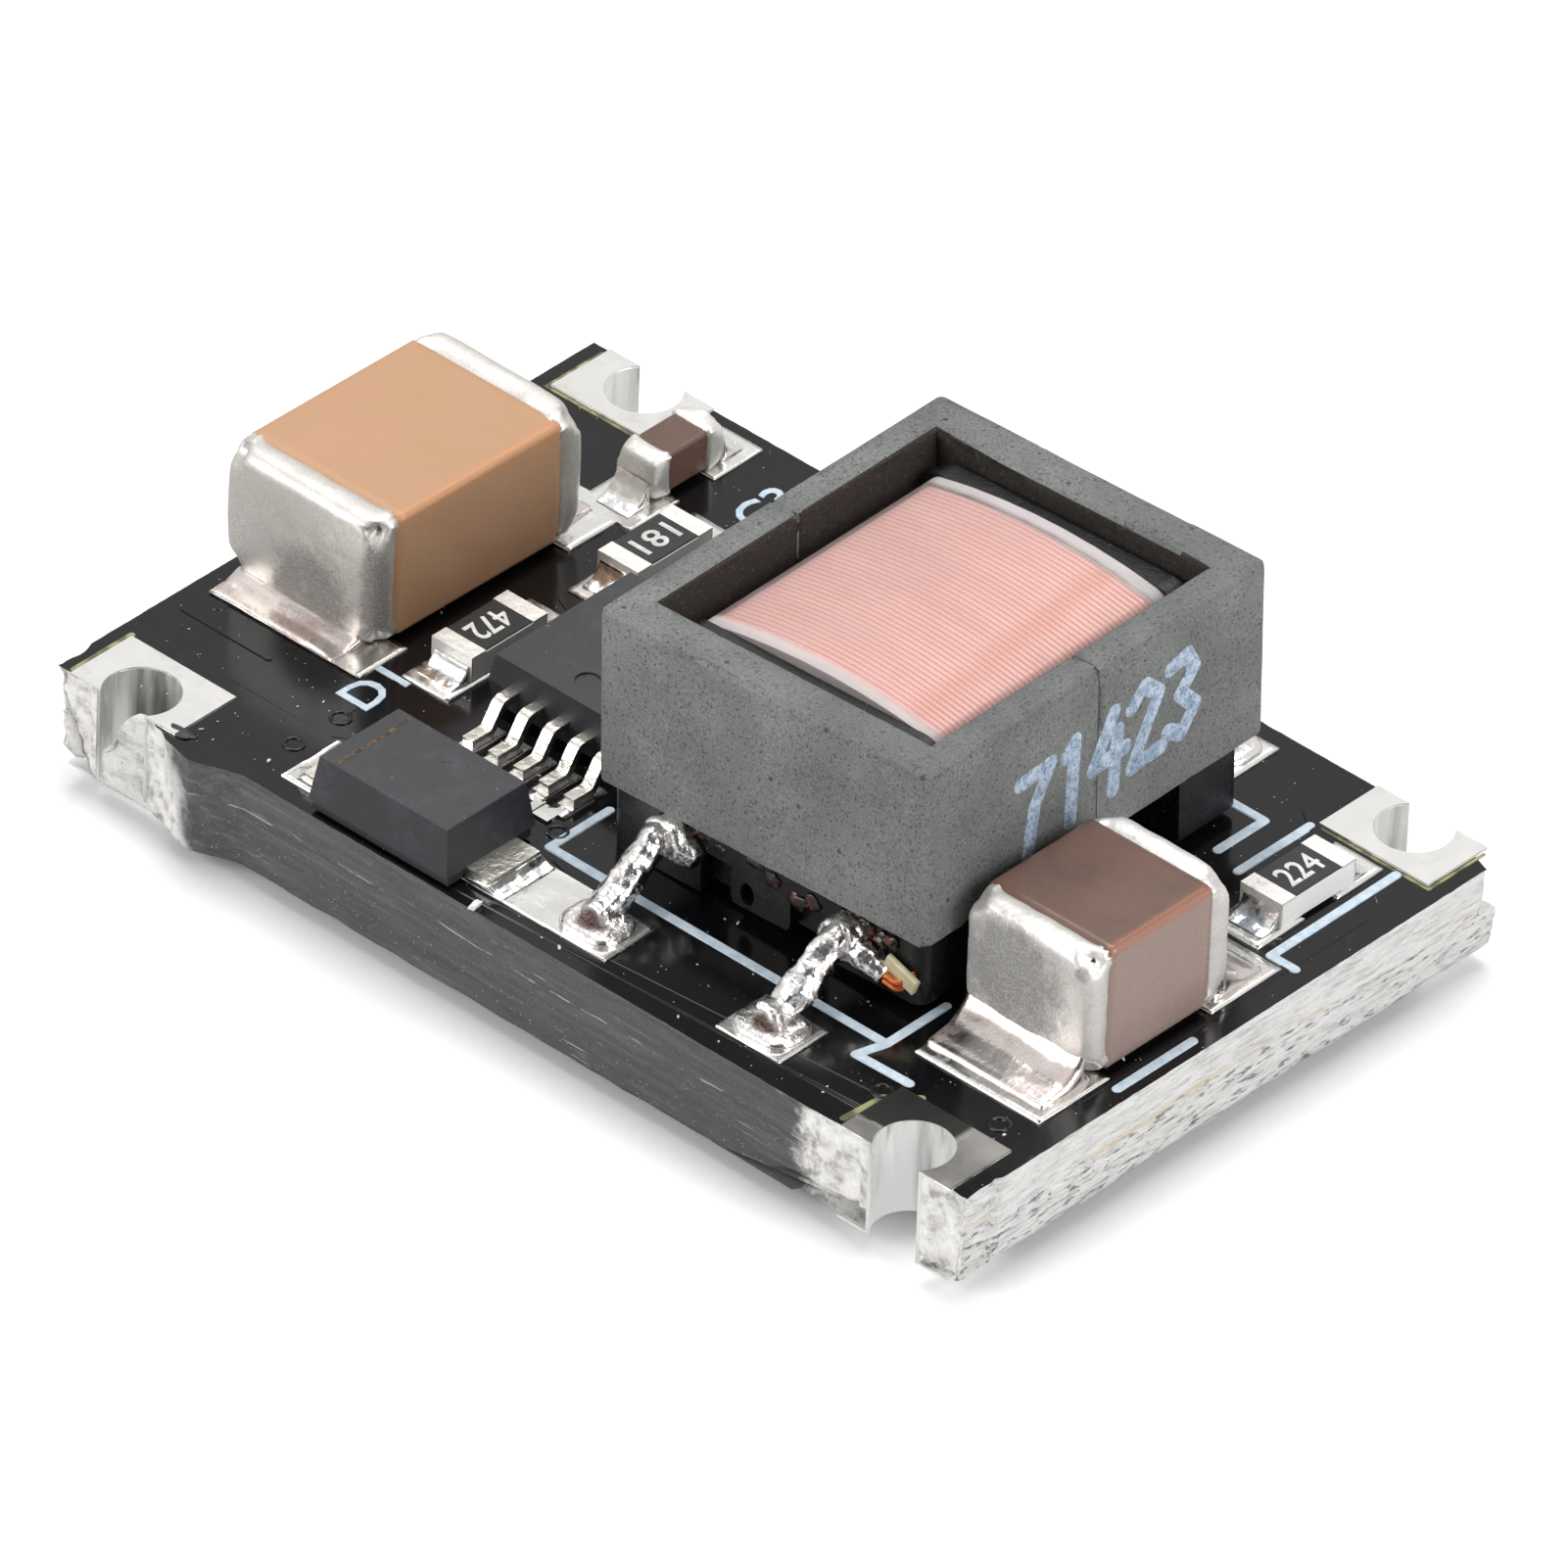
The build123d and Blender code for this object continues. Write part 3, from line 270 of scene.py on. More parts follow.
world = bpy.data.worlds.new("white_tent")
scene.world = world
world.use_nodes = True
tree = world.node_tree
sky = tree.nodes["Background"]
sky.inputs["Color"].default_value = WHITE
sky.inputs["Strength"].default_value = 0.33
# seen in a reflection: bright cloth, with the dark opening that the camera looks through
direction = add_node(tree, "ShaderNodeTexCoord", {}, {}, "Generated")
facing = add_node(tree, "ShaderNodeVectorMath", {"operation": "DOT_PRODUCT"}, {0: direction, 1: -forward}, "Value")
opening = {"Value": facing, "From Min": 0.7, "From Max": 0.95, "To Min": 0.78, "To Max": 0.08}
cloth = add_node(tree, "ShaderNodeMapRange", {"interpolation_type": "SMOOTHSTEP"}, opening)
reflected = add_node(tree, "ShaderNodeBackground", {}, {"Color": WHITE, "Strength": cloth})
background = add_node(tree, "ShaderNodeBackground", {}, {"Color": WHITE, "Strength": 1.0})
tent, by_camera = split_for_mirrors(tree, sky.outputs[0], reflected)
tent = add_node(tree, "ShaderNodeMixShader", {}, {0: by_camera, 1: tent, 2: background})
tree.links.new(tent, tree.nodes["World Output"].inputs["Surface"])


def soft_box(name, place_mm, width_mm, height_mm, watts):
    """A rectangular lamp that faces the middle of the board."""
    lamp = bpy.data.lights.new(name, "AREA")
    lamp.shape = "RECTANGLE"
    lamp.size, lamp.size_y = width_mm * MM, height_mm * MM
    lamp.energy = watts
    place = Vector(place_mm) * MM
    aim = Vector((0, 0, 2)) * MM - place
    linked(name, lamp).matrix_world = Matrix.Translation(place) @ aim.to_track_quat("-Z", "Y").to_matrix().to_4x4()


soft_box("left_soft_box", (-90, -190, 120), 160, 140, 0.33)
soft_box("right_soft_box", (220, 20, 130), 140, 140, 0.4)
soft_box("top_soft_box", (-40, 60, 230), 160, 160, 0.38)
scene.view_settings.view_transform = "Standard"

# %% [markdown]
# Finishes of the board
#
# Solder mask is a thin glossy varnish: nearly black, with slow waves and white dust. The cut sides show layers of
# glass cloth in resin: the front was milled and rubbed dark, and the right side was sawn, so that pale bundles of
# glass show along the cut. Noise that is stretched along one axis gives both kinds of streak.

# %% Solder mask and the two cut sides
mask = Finish("glossy_black_solder_mask", specular_ior_level=0.4)
waves = mask.cloud(1.6, 2)
dust = mask.specks(0.03, 0.4)
smear = mask.cloud(0.5, 4, 0.65).step(0.58, 0.8)
mask.set(base_color=mask.blend(dust * 0.8, (13, 13, 15), (200, 200, 205)),
         roughness=0.1 + waves * 0.1 + smear * 0.2 + dust * 0.4)
mask.bump(waves * 0.6 + mask.cloud(0.2, 3) * 0.08 + dust * 0.5, 0.02)

milled = Finish("milled_dark_laminate")
streak = milled.cloud(0.07, 5, 0.68, stretch=(0.12, 1, 1))
scratch = milled.cloud(0.03, 2, 0.5, turn=(0, 0.02, 0), stretch=(0.03, 1, 1)).step(0.66, 0.74)
scratch = scratch * milled.cloud(1.2, 2).step(0.5, 0.62)
speckle = milled.cloud(0.05, 3, 0.6).step(0.5, 0.75)
edge_x = milled.axis("X") + milled.wobble(1.4, 0.6, 5, 0.7)
bare = (edge_x + milled.axis("Z") * 0.15).step(5.8, 6.3).larger((edge_x + milled.axis("Z") * 0.4).step(-5.7, -6.2))
pale = milled.ramp(milled.cloud(0.3, 6, 0.7), (0.34, 150, 147, 145), (0.5, 212, 210, 206), (0.7, 238, 236, 233))
dark = milled.ramp(streak * 0.7 + speckle * 0.2, (0.2, 62, 60, 62), (0.4, 78, 76, 77), (0.75, 104, 101, 103))
lower = milled.axis("Z").step(1.2, 0.1)
slow = milled.cloud(0.13, 4, 0.6, stretch=(0.04, 1, 1))
line_height = milled.axis("Z") + milled.wobble(0.4, 2.6)
line = (line_height - 1.0).size().step(0.02, 0.006) * milled.cloud(0.4, 4, 0.7).step(0.46, 0.66) * 0.6
scratch = scratch.larger(line).larger(milled.specks(0.022, 0.5) * (0.3 + lower * 0.7))
dark = milled.layered(dark, (lower * 0.35, (54, 52, 53)), (slow.step(0.5, 0.7) * 0.22, (132, 129, 131)),
                      (slow.step(0.46, 0.34) * 0.3, (52, 50, 52)), (scratch * 0.8, (206, 203, 202)), (bare, pale))
milled.set(base_color=dark, roughness=0.34 + streak * 0.16 + bare * 0.25)
milled.bump(streak * 0.3 + scratch * 0.3 + bare * milled.cloud(0.08, 4, 0.6), 0.014)

sawn = Finish("sawn_glass_laminate", roughness=0.62)
bundle = {"turn": (0.07, 0, 0), "stretch": (1, 0.12, 1)}
layers = sawn.cloud(0.075, 6, 0.74, 0.3, **bundle)
fuzz = sawn.cloud(0.03, 4, 0.75)
fibres = sawn.cloud(0.02, 3, 0.7, turn=(0.05, 0, 0), stretch=(1, 0.12, 1)) * 0.6 + fuzz * 0.4
height = sawn.axis("Z") + (sawn.cloud(1.2, 2, stretch=(1, 0.4, 1)) - 0.5) * 0.5
pits = sawn.cloud(0.08, 4, 0.7, turn=(0.09, 0, 0), stretch=(1, 0.25, 1)).step(0.56, 0.66)
pits = pits * (0.15 + height.step(0.95, 0.7) * 0.85)
yellowish = sawn.cloud(0.2, 3, 0.6, **bundle).step(0.48, 0.64) * (height - 0.84).size().step(0.16, 0.05)
glass = sawn.ramp(layers * 0.65 + fibres * 0.35, (0.3, 128, 128, 130), (0.42, 196, 195, 194), (0.5, 230, 229, 227),
                  (0.7, 248, 247, 245))
sawn.set(base_color=sawn.layered(glass, (yellowish * 0.55, (214, 196, 158)), (pits * 0.75, (84, 84, 86))))
sawn.bump(layers + fibres * 0.6 - pits * 0.8, 0.06)

broken = Finish("torn_glass_laminate", roughness=0.55)
shards = broken.cloud(0.3, 6, 0.7, 0.5, turn=(0, 0.5, 0), stretch=(0.4, 1, 1))
fuzz = broken.cloud(0.035, 4, 0.7)
torn = broken.ramp(shards * 0.75 + fuzz * 0.25, (0.32, 110, 106, 103), (0.42, 178, 176, 173), (0.52, 218, 217, 214),
                   (0.7, 240, 240, 237))
red_fleck = broken.cloud(0.1, 3, 0.6, move=(0.003, 0, 0)).step(0.66, 0.72)
broken.set(base_color=broken.blend(red_fleck, torn, (104, 58, 42)))
broken.bump(shards + fuzz * 0.5, 0.06)

# %% [markdown]
# Finishes of the metal
#
# Everything silver is tin. Pads are flat with a fine grain. Solder froze from a liquid, so it is smooth, bright and
# rippled, with brown flux in its hollows. The ends of the ceramic parts are metal paste fired on and plated: dull,
# mottled and smudged with soot. The three share one function with a few amounts.

# %% Tin, solder and fired end caps
def silver(name, tone, soot_tone, rough, ripple_mm, depth_mm, soot_grain=0.35, soot_from=0.5, grain=0.35, metal=1.0,
           smudges=(), crust=0.35):
    """Tin with ripples, a fine grain and soot or flux in patches: where a cloud passes soot_from, and in smudges."""
    finish = Finish(name)
    ripple = finish.cloud(ripple_mm, 3, 0.55)
    fine = finish.cloud(0.03, 3, 0.65)
    soot = finish.cloud(soot_grain, 5, 0.68).step(soot_from, soot_from + 0.22)
    mottle = finish.cloud(0.3, 6, 0.75)
    for smudge in smudges:
        soot = soot.larger((finish.near(*smudge) * 1.1 + mottle * 1.5 - 1.0).step(0.0, 0.8))
    soot = soot * (0.7 + fine.step(0.3, 0.6) * 0.3)
    plated = finish.blend(fine.step(0.35, 0.7) * grain, tone, tuple(c * 0.62 for c in rgb(*tone)[:3]) + (1,))
    finish.set(base_color=finish.blend(soot * max(0.66, crust), plated, soot_tone),
               metallic=(metal - soot * crust).clamped(), roughness=rough + fine * grain * 0.3 + soot * 0.3)
    finish.bump(ripple + fine * grain * 0.3 - soot * 0.1, depth_mm)
    return finish


UPRIGHT = (1, 1, 0.1)


def terminal_plate(name, worn=False):
    """The tin of a corner terminal: flat white on its pad, and streaked from top to bottom in its hole."""
    finish = Finish(name)
    streaks = finish.cloud(0.36, 3, 0.5, stretch=UPRIGHT)
    in_hole = finish.axis("Z").step(1.63, 1.6)
    patches = finish.cloud(0.45, 4, 0.6)
    olive = finish.cloud(0.14, 3, 0.6, stretch=UPRIGHT).step(0.54, 0.62) * finish.axis("Z").step(1.1, 1.5) * in_hole
    barrel = finish.ramp(streaks, (0.3, 150, 150, 146), (0.42, 226, 226, 224), (0.52, 250, 250, 249))
    barrel = finish.blend(olive * 0.7, barrel, (128, 126, 98))
    flat = finish.blend(patches.step(0.5, 0.75) * 0.25, (251, 249, 246), (200, 194, 186))
    tone, metal, rough = finish.blend(in_hole, flat, barrel), 1 - olive * 0.6 - in_hole * 0.3, 0.16 + streaks * 0.12
    if worn:
        along_y = finish.axis("Y") + (patches - 0.5) * 0.3
        tone = finish.blend((1 - in_hole) * (0.3 + patches * 0.3), tone, (150, 140, 130))
        gone = (1 - in_hole) * finish.axis("X").step(8.05, 7.85) * along_y.step(-5.42, -5.28)
        tone, metal, rough = finish.blend(gone, tone, (26, 26, 24)), metal - gone, rough + gone * 0.1
    finish.set(base_color=tone, metallic=metal.clamped(), roughness=rough)
    finish.bump(streaks * in_hole + patches * 0.2, 0.02)
    return finish


tin = silver("bright_tin_plate", (240, 238, 234), (140, 136, 130), 0.22, 0.25, 0.008, 0.3, 0.52, grain=0.12)
solder = silver("frozen_solder", (240, 239, 238), (92, 62, 50), 0.16, 0.24, 0.014, 0.3, 0.62, grain=0.15)
PIN_FEET = tuple(((x, y, 1.78), 0.42) for x in (0.9, 4.32) for y in (-4.86, 4.86))
pin_solder = silver("pin_solder_with_flux", (245, 242, 240), (74, 36, 24), 0.16, 0.12, 0.02, 0.24, 0.55, grain=0.15,
                    smudges=PIN_FEET, crust=1.0)
fluxed_solder = silver("solder_with_flux", (228, 220, 216), (152, 104, 96), 0.18, 0.4, 0.014, 0.6, 0.48, grain=0.2)
fired_caps = silver(
    "sooty_fired_end_caps", (222, 218, 212), (84, 78, 75), 0.38, 0.3, 0.012, 0.9, 0.6, grain=0.6, metal=0.85,
    smudges=(((-7.1, -2.34, 2.1), 1.3), ((-5.78, -2.3, 2.6), 0.6, (1, 1, 0.25))))
bright_caps = silver(
    "bright_fired_end_caps", (236, 233, 228), (84, 84, 88), 0.42, 0.16, 0.014, 0.7, 0.58, grain=0.5, metal=0.8,
    smudges=(((6.95, -2.67, 2.85), 1.6), ((8.24, -2.62, 3.55), 0.2)))
lead_tin = silver("lead_frame_tin", (226, 222, 212), (96, 88, 70), 0.24, 0.12, 0.012, 0.2, 0.6, grain=0.3)
terminal_tin = terminal_plate("streaked_terminal_tin")
worn_terminal_tin = terminal_plate("worn_terminal_tin", worn=True)

# %% [markdown]
# Ceramic, ferrite and moulded plastic
#
# The capacitors' ceramic is dense and a little glossy, tan in one and brown in the other. A warm painted highlight runs
# along an upper edge of each, and painted light greys and lightens the brown capacitor's right side. Ferrite is a baked
# powder: grey, matt and full of fine dark pores. The mouldings are black plastic with fine sparks of glass.

# %% Ceramic, ferrite, mouldings and coats
def ceramic(name, tone, blush, specks_tone, rough, painted_side_light=None, lit_edge=None):
    """Dense ceramic with slow blushes and small specks. The side beyond a place on the X axis can get painted light
    that greys and lightens it, and the long upper edge, beyond a sum of the X and Z axes, a warm painted highlight."""
    finish = Finish(name)
    slow, fine = finish.cloud(1.1, 3, 0.55), finish.cloud(0.05, 3, 0.6)
    layers = [(slow.step(0.3, 0.75) * 0.6, blush), (fine.step(0.45, 0.8) * 0.15, specks_tone)]
    # painted light: the side beyond from_x is greyed and lightened
    if painted_side_light:
        side_light_tone, from_x = painted_side_light
        layers.append((finish.axis("X").step(from_x, from_x + 0.06) * 0.75, side_light_tone))
    # painted highlight: a warm band along the long upper edge
    if lit_edge:
        edge_tone, from_sum = lit_edge
        layers.append(((finish.axis("X") + finish.axis("Z")).step(from_sum, from_sum + 0.1) * 0.5, edge_tone))
    layers.append((finish.specks(0.025, 0.35) * 0.25, specks_tone))
    finish.set(base_color=finish.layered(tone, *layers), roughness=rough + slow * 0.1 + fine * 0.06)
    finish.bump(slow * 0.5 + fine * 0.12, 0.008)
    return finish


# both capacitors get a warm painted highlight on an upper edge, and the brown one painted light on its right side
tan_ceramic = ceramic("tan_ceramic", (182, 142, 107), (188, 145, 114), (138, 106, 80), 0.28,
                      lit_edge=((196, 138, 92), -2.2))
brown_ceramic = ceramic("brown_ceramic", (96, 76, 67), (118, 86, 71), (80, 64, 57), 0.2,
                        painted_side_light=((150, 130, 123), 8.34), lit_edge=((158, 98, 66), 12.07))
chip_ceramic = ceramic("white_chip_ceramic", (225, 224, 222), (232, 231, 230), (190, 188, 186), 0.4)

ferrite = Finish("speckled_grey_ferrite", specular_ior_level=0.4)
pores = ferrite.cells(0.075).step(0.4, 0.22) * ferrite.cloud(0.12, 3, 0.6).step(0.4, 0.58) * 0.75
pores = pores.larger(ferrite.cells(0.42).step(0.12, 0.08) * ferrite.cloud(0.9, 2).step(0.48, 0.54))
grit, rub = ferrite.cloud(0.035, 4, 0.7), ferrite.cloud(1.3, 4, 0.6)
stone = ferrite.ramp(grit * 0.7 + rub * 0.3, (0.34, 76, 79, 79), (0.5, 108, 110, 108), (0.66, 136, 138, 135))
worn_rim = ferrite.axis("X").step(2.2, 2.8) * ferrite.axis("Z").step(5.75, 5.9)
stone = ferrite.layered(stone, (worn_rim * 0.3, (84, 86, 86)), (pores * 0.85, (48, 49, 51)),
                        (ferrite.specks(0.03, 0.32) * 0.7, (190, 190, 184)))
ferrite.set(base_color=stone, roughness=0.5 + grit * 0.3)
ferrite.bump(grit * 0.4 - pores * 0.5 + rub * 0.3, 0.01)

# painted shade: a near-black finish for the window's inner walls, where shade falls deep in the window; the lint on it
# is dust
window_shade_ferrite = Finish("painted_shade_window_ferrite", specular_ior_level=0.3)
grit = window_shade_ferrite.cloud(0.045, 4, 0.7)
lint = window_shade_ferrite.cloud(0.06, 3, 0.7).step(0.56, 0.75)
stone = window_shade_ferrite.ramp(grit, (0.3, 26, 24, 22), (0.7, 62, 57, 52))
window_shade_ferrite.set(base_color=window_shade_ferrite.blend(lint * 0.5, stone, (108, 104, 98)), roughness=0.6 + grit * 0.3)
window_shade_ferrite.bump(grit, 0.02)


def moulded(name, tone, spark, rough, specular=0.5):
    """Black plastic: sparks of glass, rubbed patches, small pits and dust."""
    finish = Finish(name, specular_ior_level=specular)
    fine, dust = finish.cloud(0.04, 4, 0.65), finish.specks(0.03, 0.3)
    pits = finish.cells(0.2).step(0.13, 0.06) * finish.cloud(0.7, 2).step(0.46, 0.54)
    rubbed = finish.cloud(0.5, 5, 0.7).step(0.5, 0.72)
    sparks = (finish.specks(0.018, 0.45) * 0.5).larger(rubbed * 0.22)
    body = finish.layered(tone, (sparks, spark), (pits * 0.7, (12, 12, 13)), (dust * 0.7, (205, 205, 205)))
    finish.set(base_color=body, roughness=rough + fine * 0.16 + rubbed * 0.08)
    finish.bump(fine + dust * 0.6 - pits, 0.008)
    return finish


black_moulding = moulded("black_moulding", (42, 43, 47), (96, 97, 102), 0.36)
bobbin_plastic = moulded("black_bobbin_plastic", (20, 20, 21), (60, 60, 62), 0.16, 0.45)
resistor_coat = moulded("black_resistor_coat", (20, 20, 21), (44, 44, 46), 0.34)

# %% [markdown]
# Wire, tape and ink
#
# The outer winding is one layer of fine enamelled copper wire. A clear film over it turns the orange into salmon
# pink, with a milky border where only tape lies below. Its Alpha is mostly open over the wire, and less so there.

# %% Enamelled wire, clear film, copper, sleeve and inks
COIL_Y = 0.45
TURN_SHIFT, TURNS_PER_MM = 1.866, 10
wire = Finish("enamelled_copper_wire")
wire_tone = wire.cloud(0.9, 3, 0.6, stretch=(0.3, 1, 1))
# painted highlight: an orange band across the turns where the coil curves down near its right end
gleam = wire.axis("X") - 4.0 + wire.axis("Y") * 0.1 + wire.wobble(0.3, 0.8, 3, 0.6)
turn_phase = ((wire.axis("Y") + TURN_SHIFT) * TURNS_PER_MM).fraction()
# painted shade: darker lines in the grooves between neighbouring turns
between = (turn_phase - 0.5).size().step(0.3, 0.46)
wire_skin = wire.layered(wire.ramp(wire_tone, (0.3, 208, 138, 118), (0.7, 228, 162, 144)),
                         (gleam.size().step(0.36, 0.02) * 0.8, (206, 114, 72)), (between * 0.8, (140, 62, 40)))
wire.set(base_color=wire_skin, metallic=0.15 + wire_tone * 0.3, roughness=0.3 + wire_tone * 0.15)

film = Finish("clear_tape_film", specular_ior_level=0.6)
border = ((film.axis("Y") - COIL_Y).size() + film.wobble(0.08, 0.4)).step(2.2, 2.36)
milk = film.cloud(0.7, 4, 0.6)
film.set(base_color=film.blend(border, (234, 212, 210), (222, 215, 214)),
         alpha=0.15 + milk * 0.15 + border * 0.42, roughness=0.16 + milk * 0.12 + border * 0.15)
film.bump(milk, 0.004)


def plain(name, grain_mm, detail, low_tone, high_tone, rough, rough_range, depth_mm=0.0, rough_noise=0.5, **constants):
    """One cloud blends two tones, roughens the surface and lifts it."""
    finish = Finish(name, **constants)
    tone = finish.cloud(grain_mm, detail, rough_noise)
    finish.set(base_color=finish.blend(tone, low_tone, high_tone), roughness=rough + tone * rough_range)
    if depth_mm:
        finish.bump(tone, depth_mm)
    return finish


inner_film = plain("brown_margin_tape", 0.3, 3, (120, 92, 78), (170, 140, 124), 0.3, 0.2)
copper = plain("bare_orange_copper", 0.12, 3, (222, 104, 50), (244, 158, 108), 0.2, 0.18, 0.006, 0.6, metallic=1.0)
sleeve = plain("yellowed_sleeve_film", 0.25, 3, (168, 156, 104), (206, 200, 172), 0.2, 0.25, 0.012, 0.6,
               specular_ior_level=0.6)


def ink_of(name, thick_tone, thin_tone, worn):
    """Printed or painted marks: uneven in tone, and open where the ink is worn."""
    finish = Finish(name)
    tone = finish.cloud(0.16, 4, 0.6)
    finish.set(base_color=finish.blend(tone.step(0.35, 0.65), thin_tone, thick_tone),
               alpha=1 - finish.cloud(0.05, 4, 0.7).step(0.5, 0.72) * worn, roughness=0.55 + tone * 0.2)
    finish.bump(tone, 0.008)
    return finish


print_ink = ink_of("pale_print_ink", (208, 221, 231), (184, 201, 214), 0.12)
marker_ink = ink_of("worn_marker_ink", (178, 193, 210), (132, 150, 172), 0.95)
code_ink = ink_of("white_code_ink", (235, 235, 232), (214, 214, 210), 0.1)
cathode_ink = ink_of("brownish_cathode_ink", (118, 88, 54), (30, 26, 22), 0.5)
mask_edge = Finish("olive_mask_edge")
edge_tone = mask_edge.cloud(0.3, 3)
mask_edge.set(base_color=mask_edge.blend(edge_tone.step(0.4, 0.6), (88, 88, 62), (150, 148, 104)),
              roughness=0.25 + edge_tone * 0.2)
resin = Finish("dark_flux_resin", specular_ior_level=0.6)
resin_tone = resin.cloud(0.15, 3, 0.6)
resin.set(base_color=resin.ramp(resin_tone, (0.42, 16, 12, 11), (0.56, 52, 28, 20), (0.72, 122, 60, 40)),
          roughness=0.1 + resin_tone * 0.2)
resin.bump(resin_tone, 0.02)
print("finishes:", len(bpy.data.materials))

# %% [markdown]
# From solids to worked pieces
#
# The frame's solids are exact but too clean for a close-up. A worked piece starts as a merged copy of its solid, is
# cut into a finer grid by planes or melted into one soft skin, and is then dented, rippled or ridged.

# %% Helpers for worked pieces
def merged(*names):
    """One mesh from copies of CAD nodes: doubles merged, flat areas joined into single faces."""
    shape = bmesh.new()
    for name in names:
        shape.from_mesh(nodes[name].data)
    bmesh.ops.remove_doubles(shape, verts=shape.verts, dist=0.0004 * MM)
    bmesh.ops.dissolve_limit(shape, angle_limit=math.radians(0.4), verts=shape.verts, edges=shape.edges)
    return shape


def grid_cut(shape, axis, step_mm, low_mm, high_mm, wanted=None):
    """Cuts faces along evenly spaced planes across one axis; wanted chooses the faces."""
    normal = Vector(tuple(float(letter == axis) for letter in "XYZ"))
    for k in range(1, int((high_mm - low_mm) / step_mm) + 1):
        faces = [f for f in shape.faces if wanted is None or wanted(f)]
        geometry = list({*faces, *(e for f in faces for e in f.edges), *(v for f in faces for v in f.verts)})
        bmesh.ops.bisect_plane(shape, geom=geometry, dist=1e-8, plane_no=normal,
                               plane_co=normal * (low_mm + k * step_mm) * MM)


def box_mm(node):
    """The lowest and the highest corner of a node."""
    return [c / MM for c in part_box(node)]


def diced(node, step_mm, shift_mm):
    """A merged copy of a node that is cut into a grid across all three axes, and its box in millimetres."""
    shape = merged(node)
    low, high = box_mm(node)
    for axis, start, end in zip("XYZ", low, high):
        grid_cut(shape, axis, step_mm, start - shift_mm, end)
    return shape, low, high


def rough_value(place, grain_mm, seed=0.0):
    """Noise from -1 to 1 at a place in the object, with patches of grain_mm."""
    return noise.noise(place / (grain_mm * MM) + Vector((seed, seed * 0.7, -seed)))


def soften(shape, rounds, verts=None, axes="XYZ"):
    """Moves each corner halfway to the middle of its neighbours, along the given axes, as often as rounds says."""
    along = {f"use_axis_{letter.lower()}": letter in axes for letter in "XYZ"}
    for _ in range(rounds):
        bmesh.ops.smooth_vert(shape, verts=shape.verts if verts is None else verts, factor=0.5, **along)


def evaluated(holder):
    """A mesh to work on from an object as it looks after its modifiers; the object itself goes."""
    bpy.context.view_layer.update()
    mesh = bpy.data.meshes.new_from_object(holder.evaluated_get(bpy.context.evaluated_depsgraph_get()))
    bpy.data.objects.remove(holder)
    shape = bmesh.new()
    shape.from_mesh(mesh)
    return shape


def melted(shape, voxel_mm, relax):
    """One closed soft skin round a shape. The skin is made at a thousand times the size, then brought back."""
    bmesh.ops.scale(shape, verts=shape.verts, vec=(1 / MM,) * 3)
    mesh = bpy.data.meshes.new("skin_source")
    shape.to_mesh(mesh)
    shape.free()
    holder = linked("skin_source", mesh)
    skin = holder.modifiers.new("skin", "REMESH")
    skin.mode, skin.voxel_size = "VOXEL", voxel_mm
    shape = evaluated(holder)
    soften(shape, relax)
    bmesh.ops.scale(shape, verts=shape.verts, vec=(MM,) * 3)
    return shape


def dent(shape, grain_mm, depth_mm, seed=0.0, wanted=None, share=0.5):
    """Moves each corner along its normal by noise; share 0.5 goes as far out as in, 0 only goes in."""
    shape.normal_update()
    for v in shape.verts:
        if wanted is None or wanted(v.co):
            v.co += v.normal * depth_mm * MM * (rough_value(v.co, grain_mm, seed) - 1 + 2 * share)


def show(name, shape, finishes, slot, *replaced, sharp=40):
    """Makes the object, gives it its finishes, and lets it stand for CAD nodes."""
    mesh = bpy.data.meshes.new(name)
    shape.to_mesh(mesh)
    shape.free()
    for finish in finishes:
        mesh.materials.append(finish.material)
    mesh.shade_smooth()
    mesh.set_sharp_from_angle(angle=math.radians(sharp))
    piece = linked(name, mesh)
    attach(piece, "root")
    if replaced:
        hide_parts(*replaced)
    print(f"{name}: {len(mesh.polygons)} faces")


# %% [markdown]
# The board
#
# The board stays flat, but for the broken corner below. Its four sides are cut into a fine grid, and each corner of
# the grid moves inwards: a little all over, in long grooves where glass bundles lie along the right side, and deep
# where the laminate tore beside the holes. Nothing moves outwards, so the board keeps its size.

# %% Board with milled and torn sides
BOARD_TOP = 1.6
HALF_LENGTH, HALF_WIDTH = 8.98, 5.73
SIDE_GRID = 0.11
NOTCH_X, NOTCH_REACH, NOTCH_DEPTH = 7.6, 0.72, 1.1
BREAK_X, BREAK_Y = -8.14, -4.7    # the underside broke off beyond these two lines
UNDERCUT_FROM, UNDERCUT_TO, UNDERCUT_HEIGHT = 5.2, 6.9, 0.34    # beside the right hole
board = merged("circuit_board")


def is_side(face):
    return abs(face.normal.z) < 0.6


def is_broken_corner(face):
    """The underside near the left front corner, where the laminate broke off below."""
    middle = face.calc_center_bounds() / MM
    return face.normal.z < -0.9 and middle.x < -8.0 and middle.y < -4.6


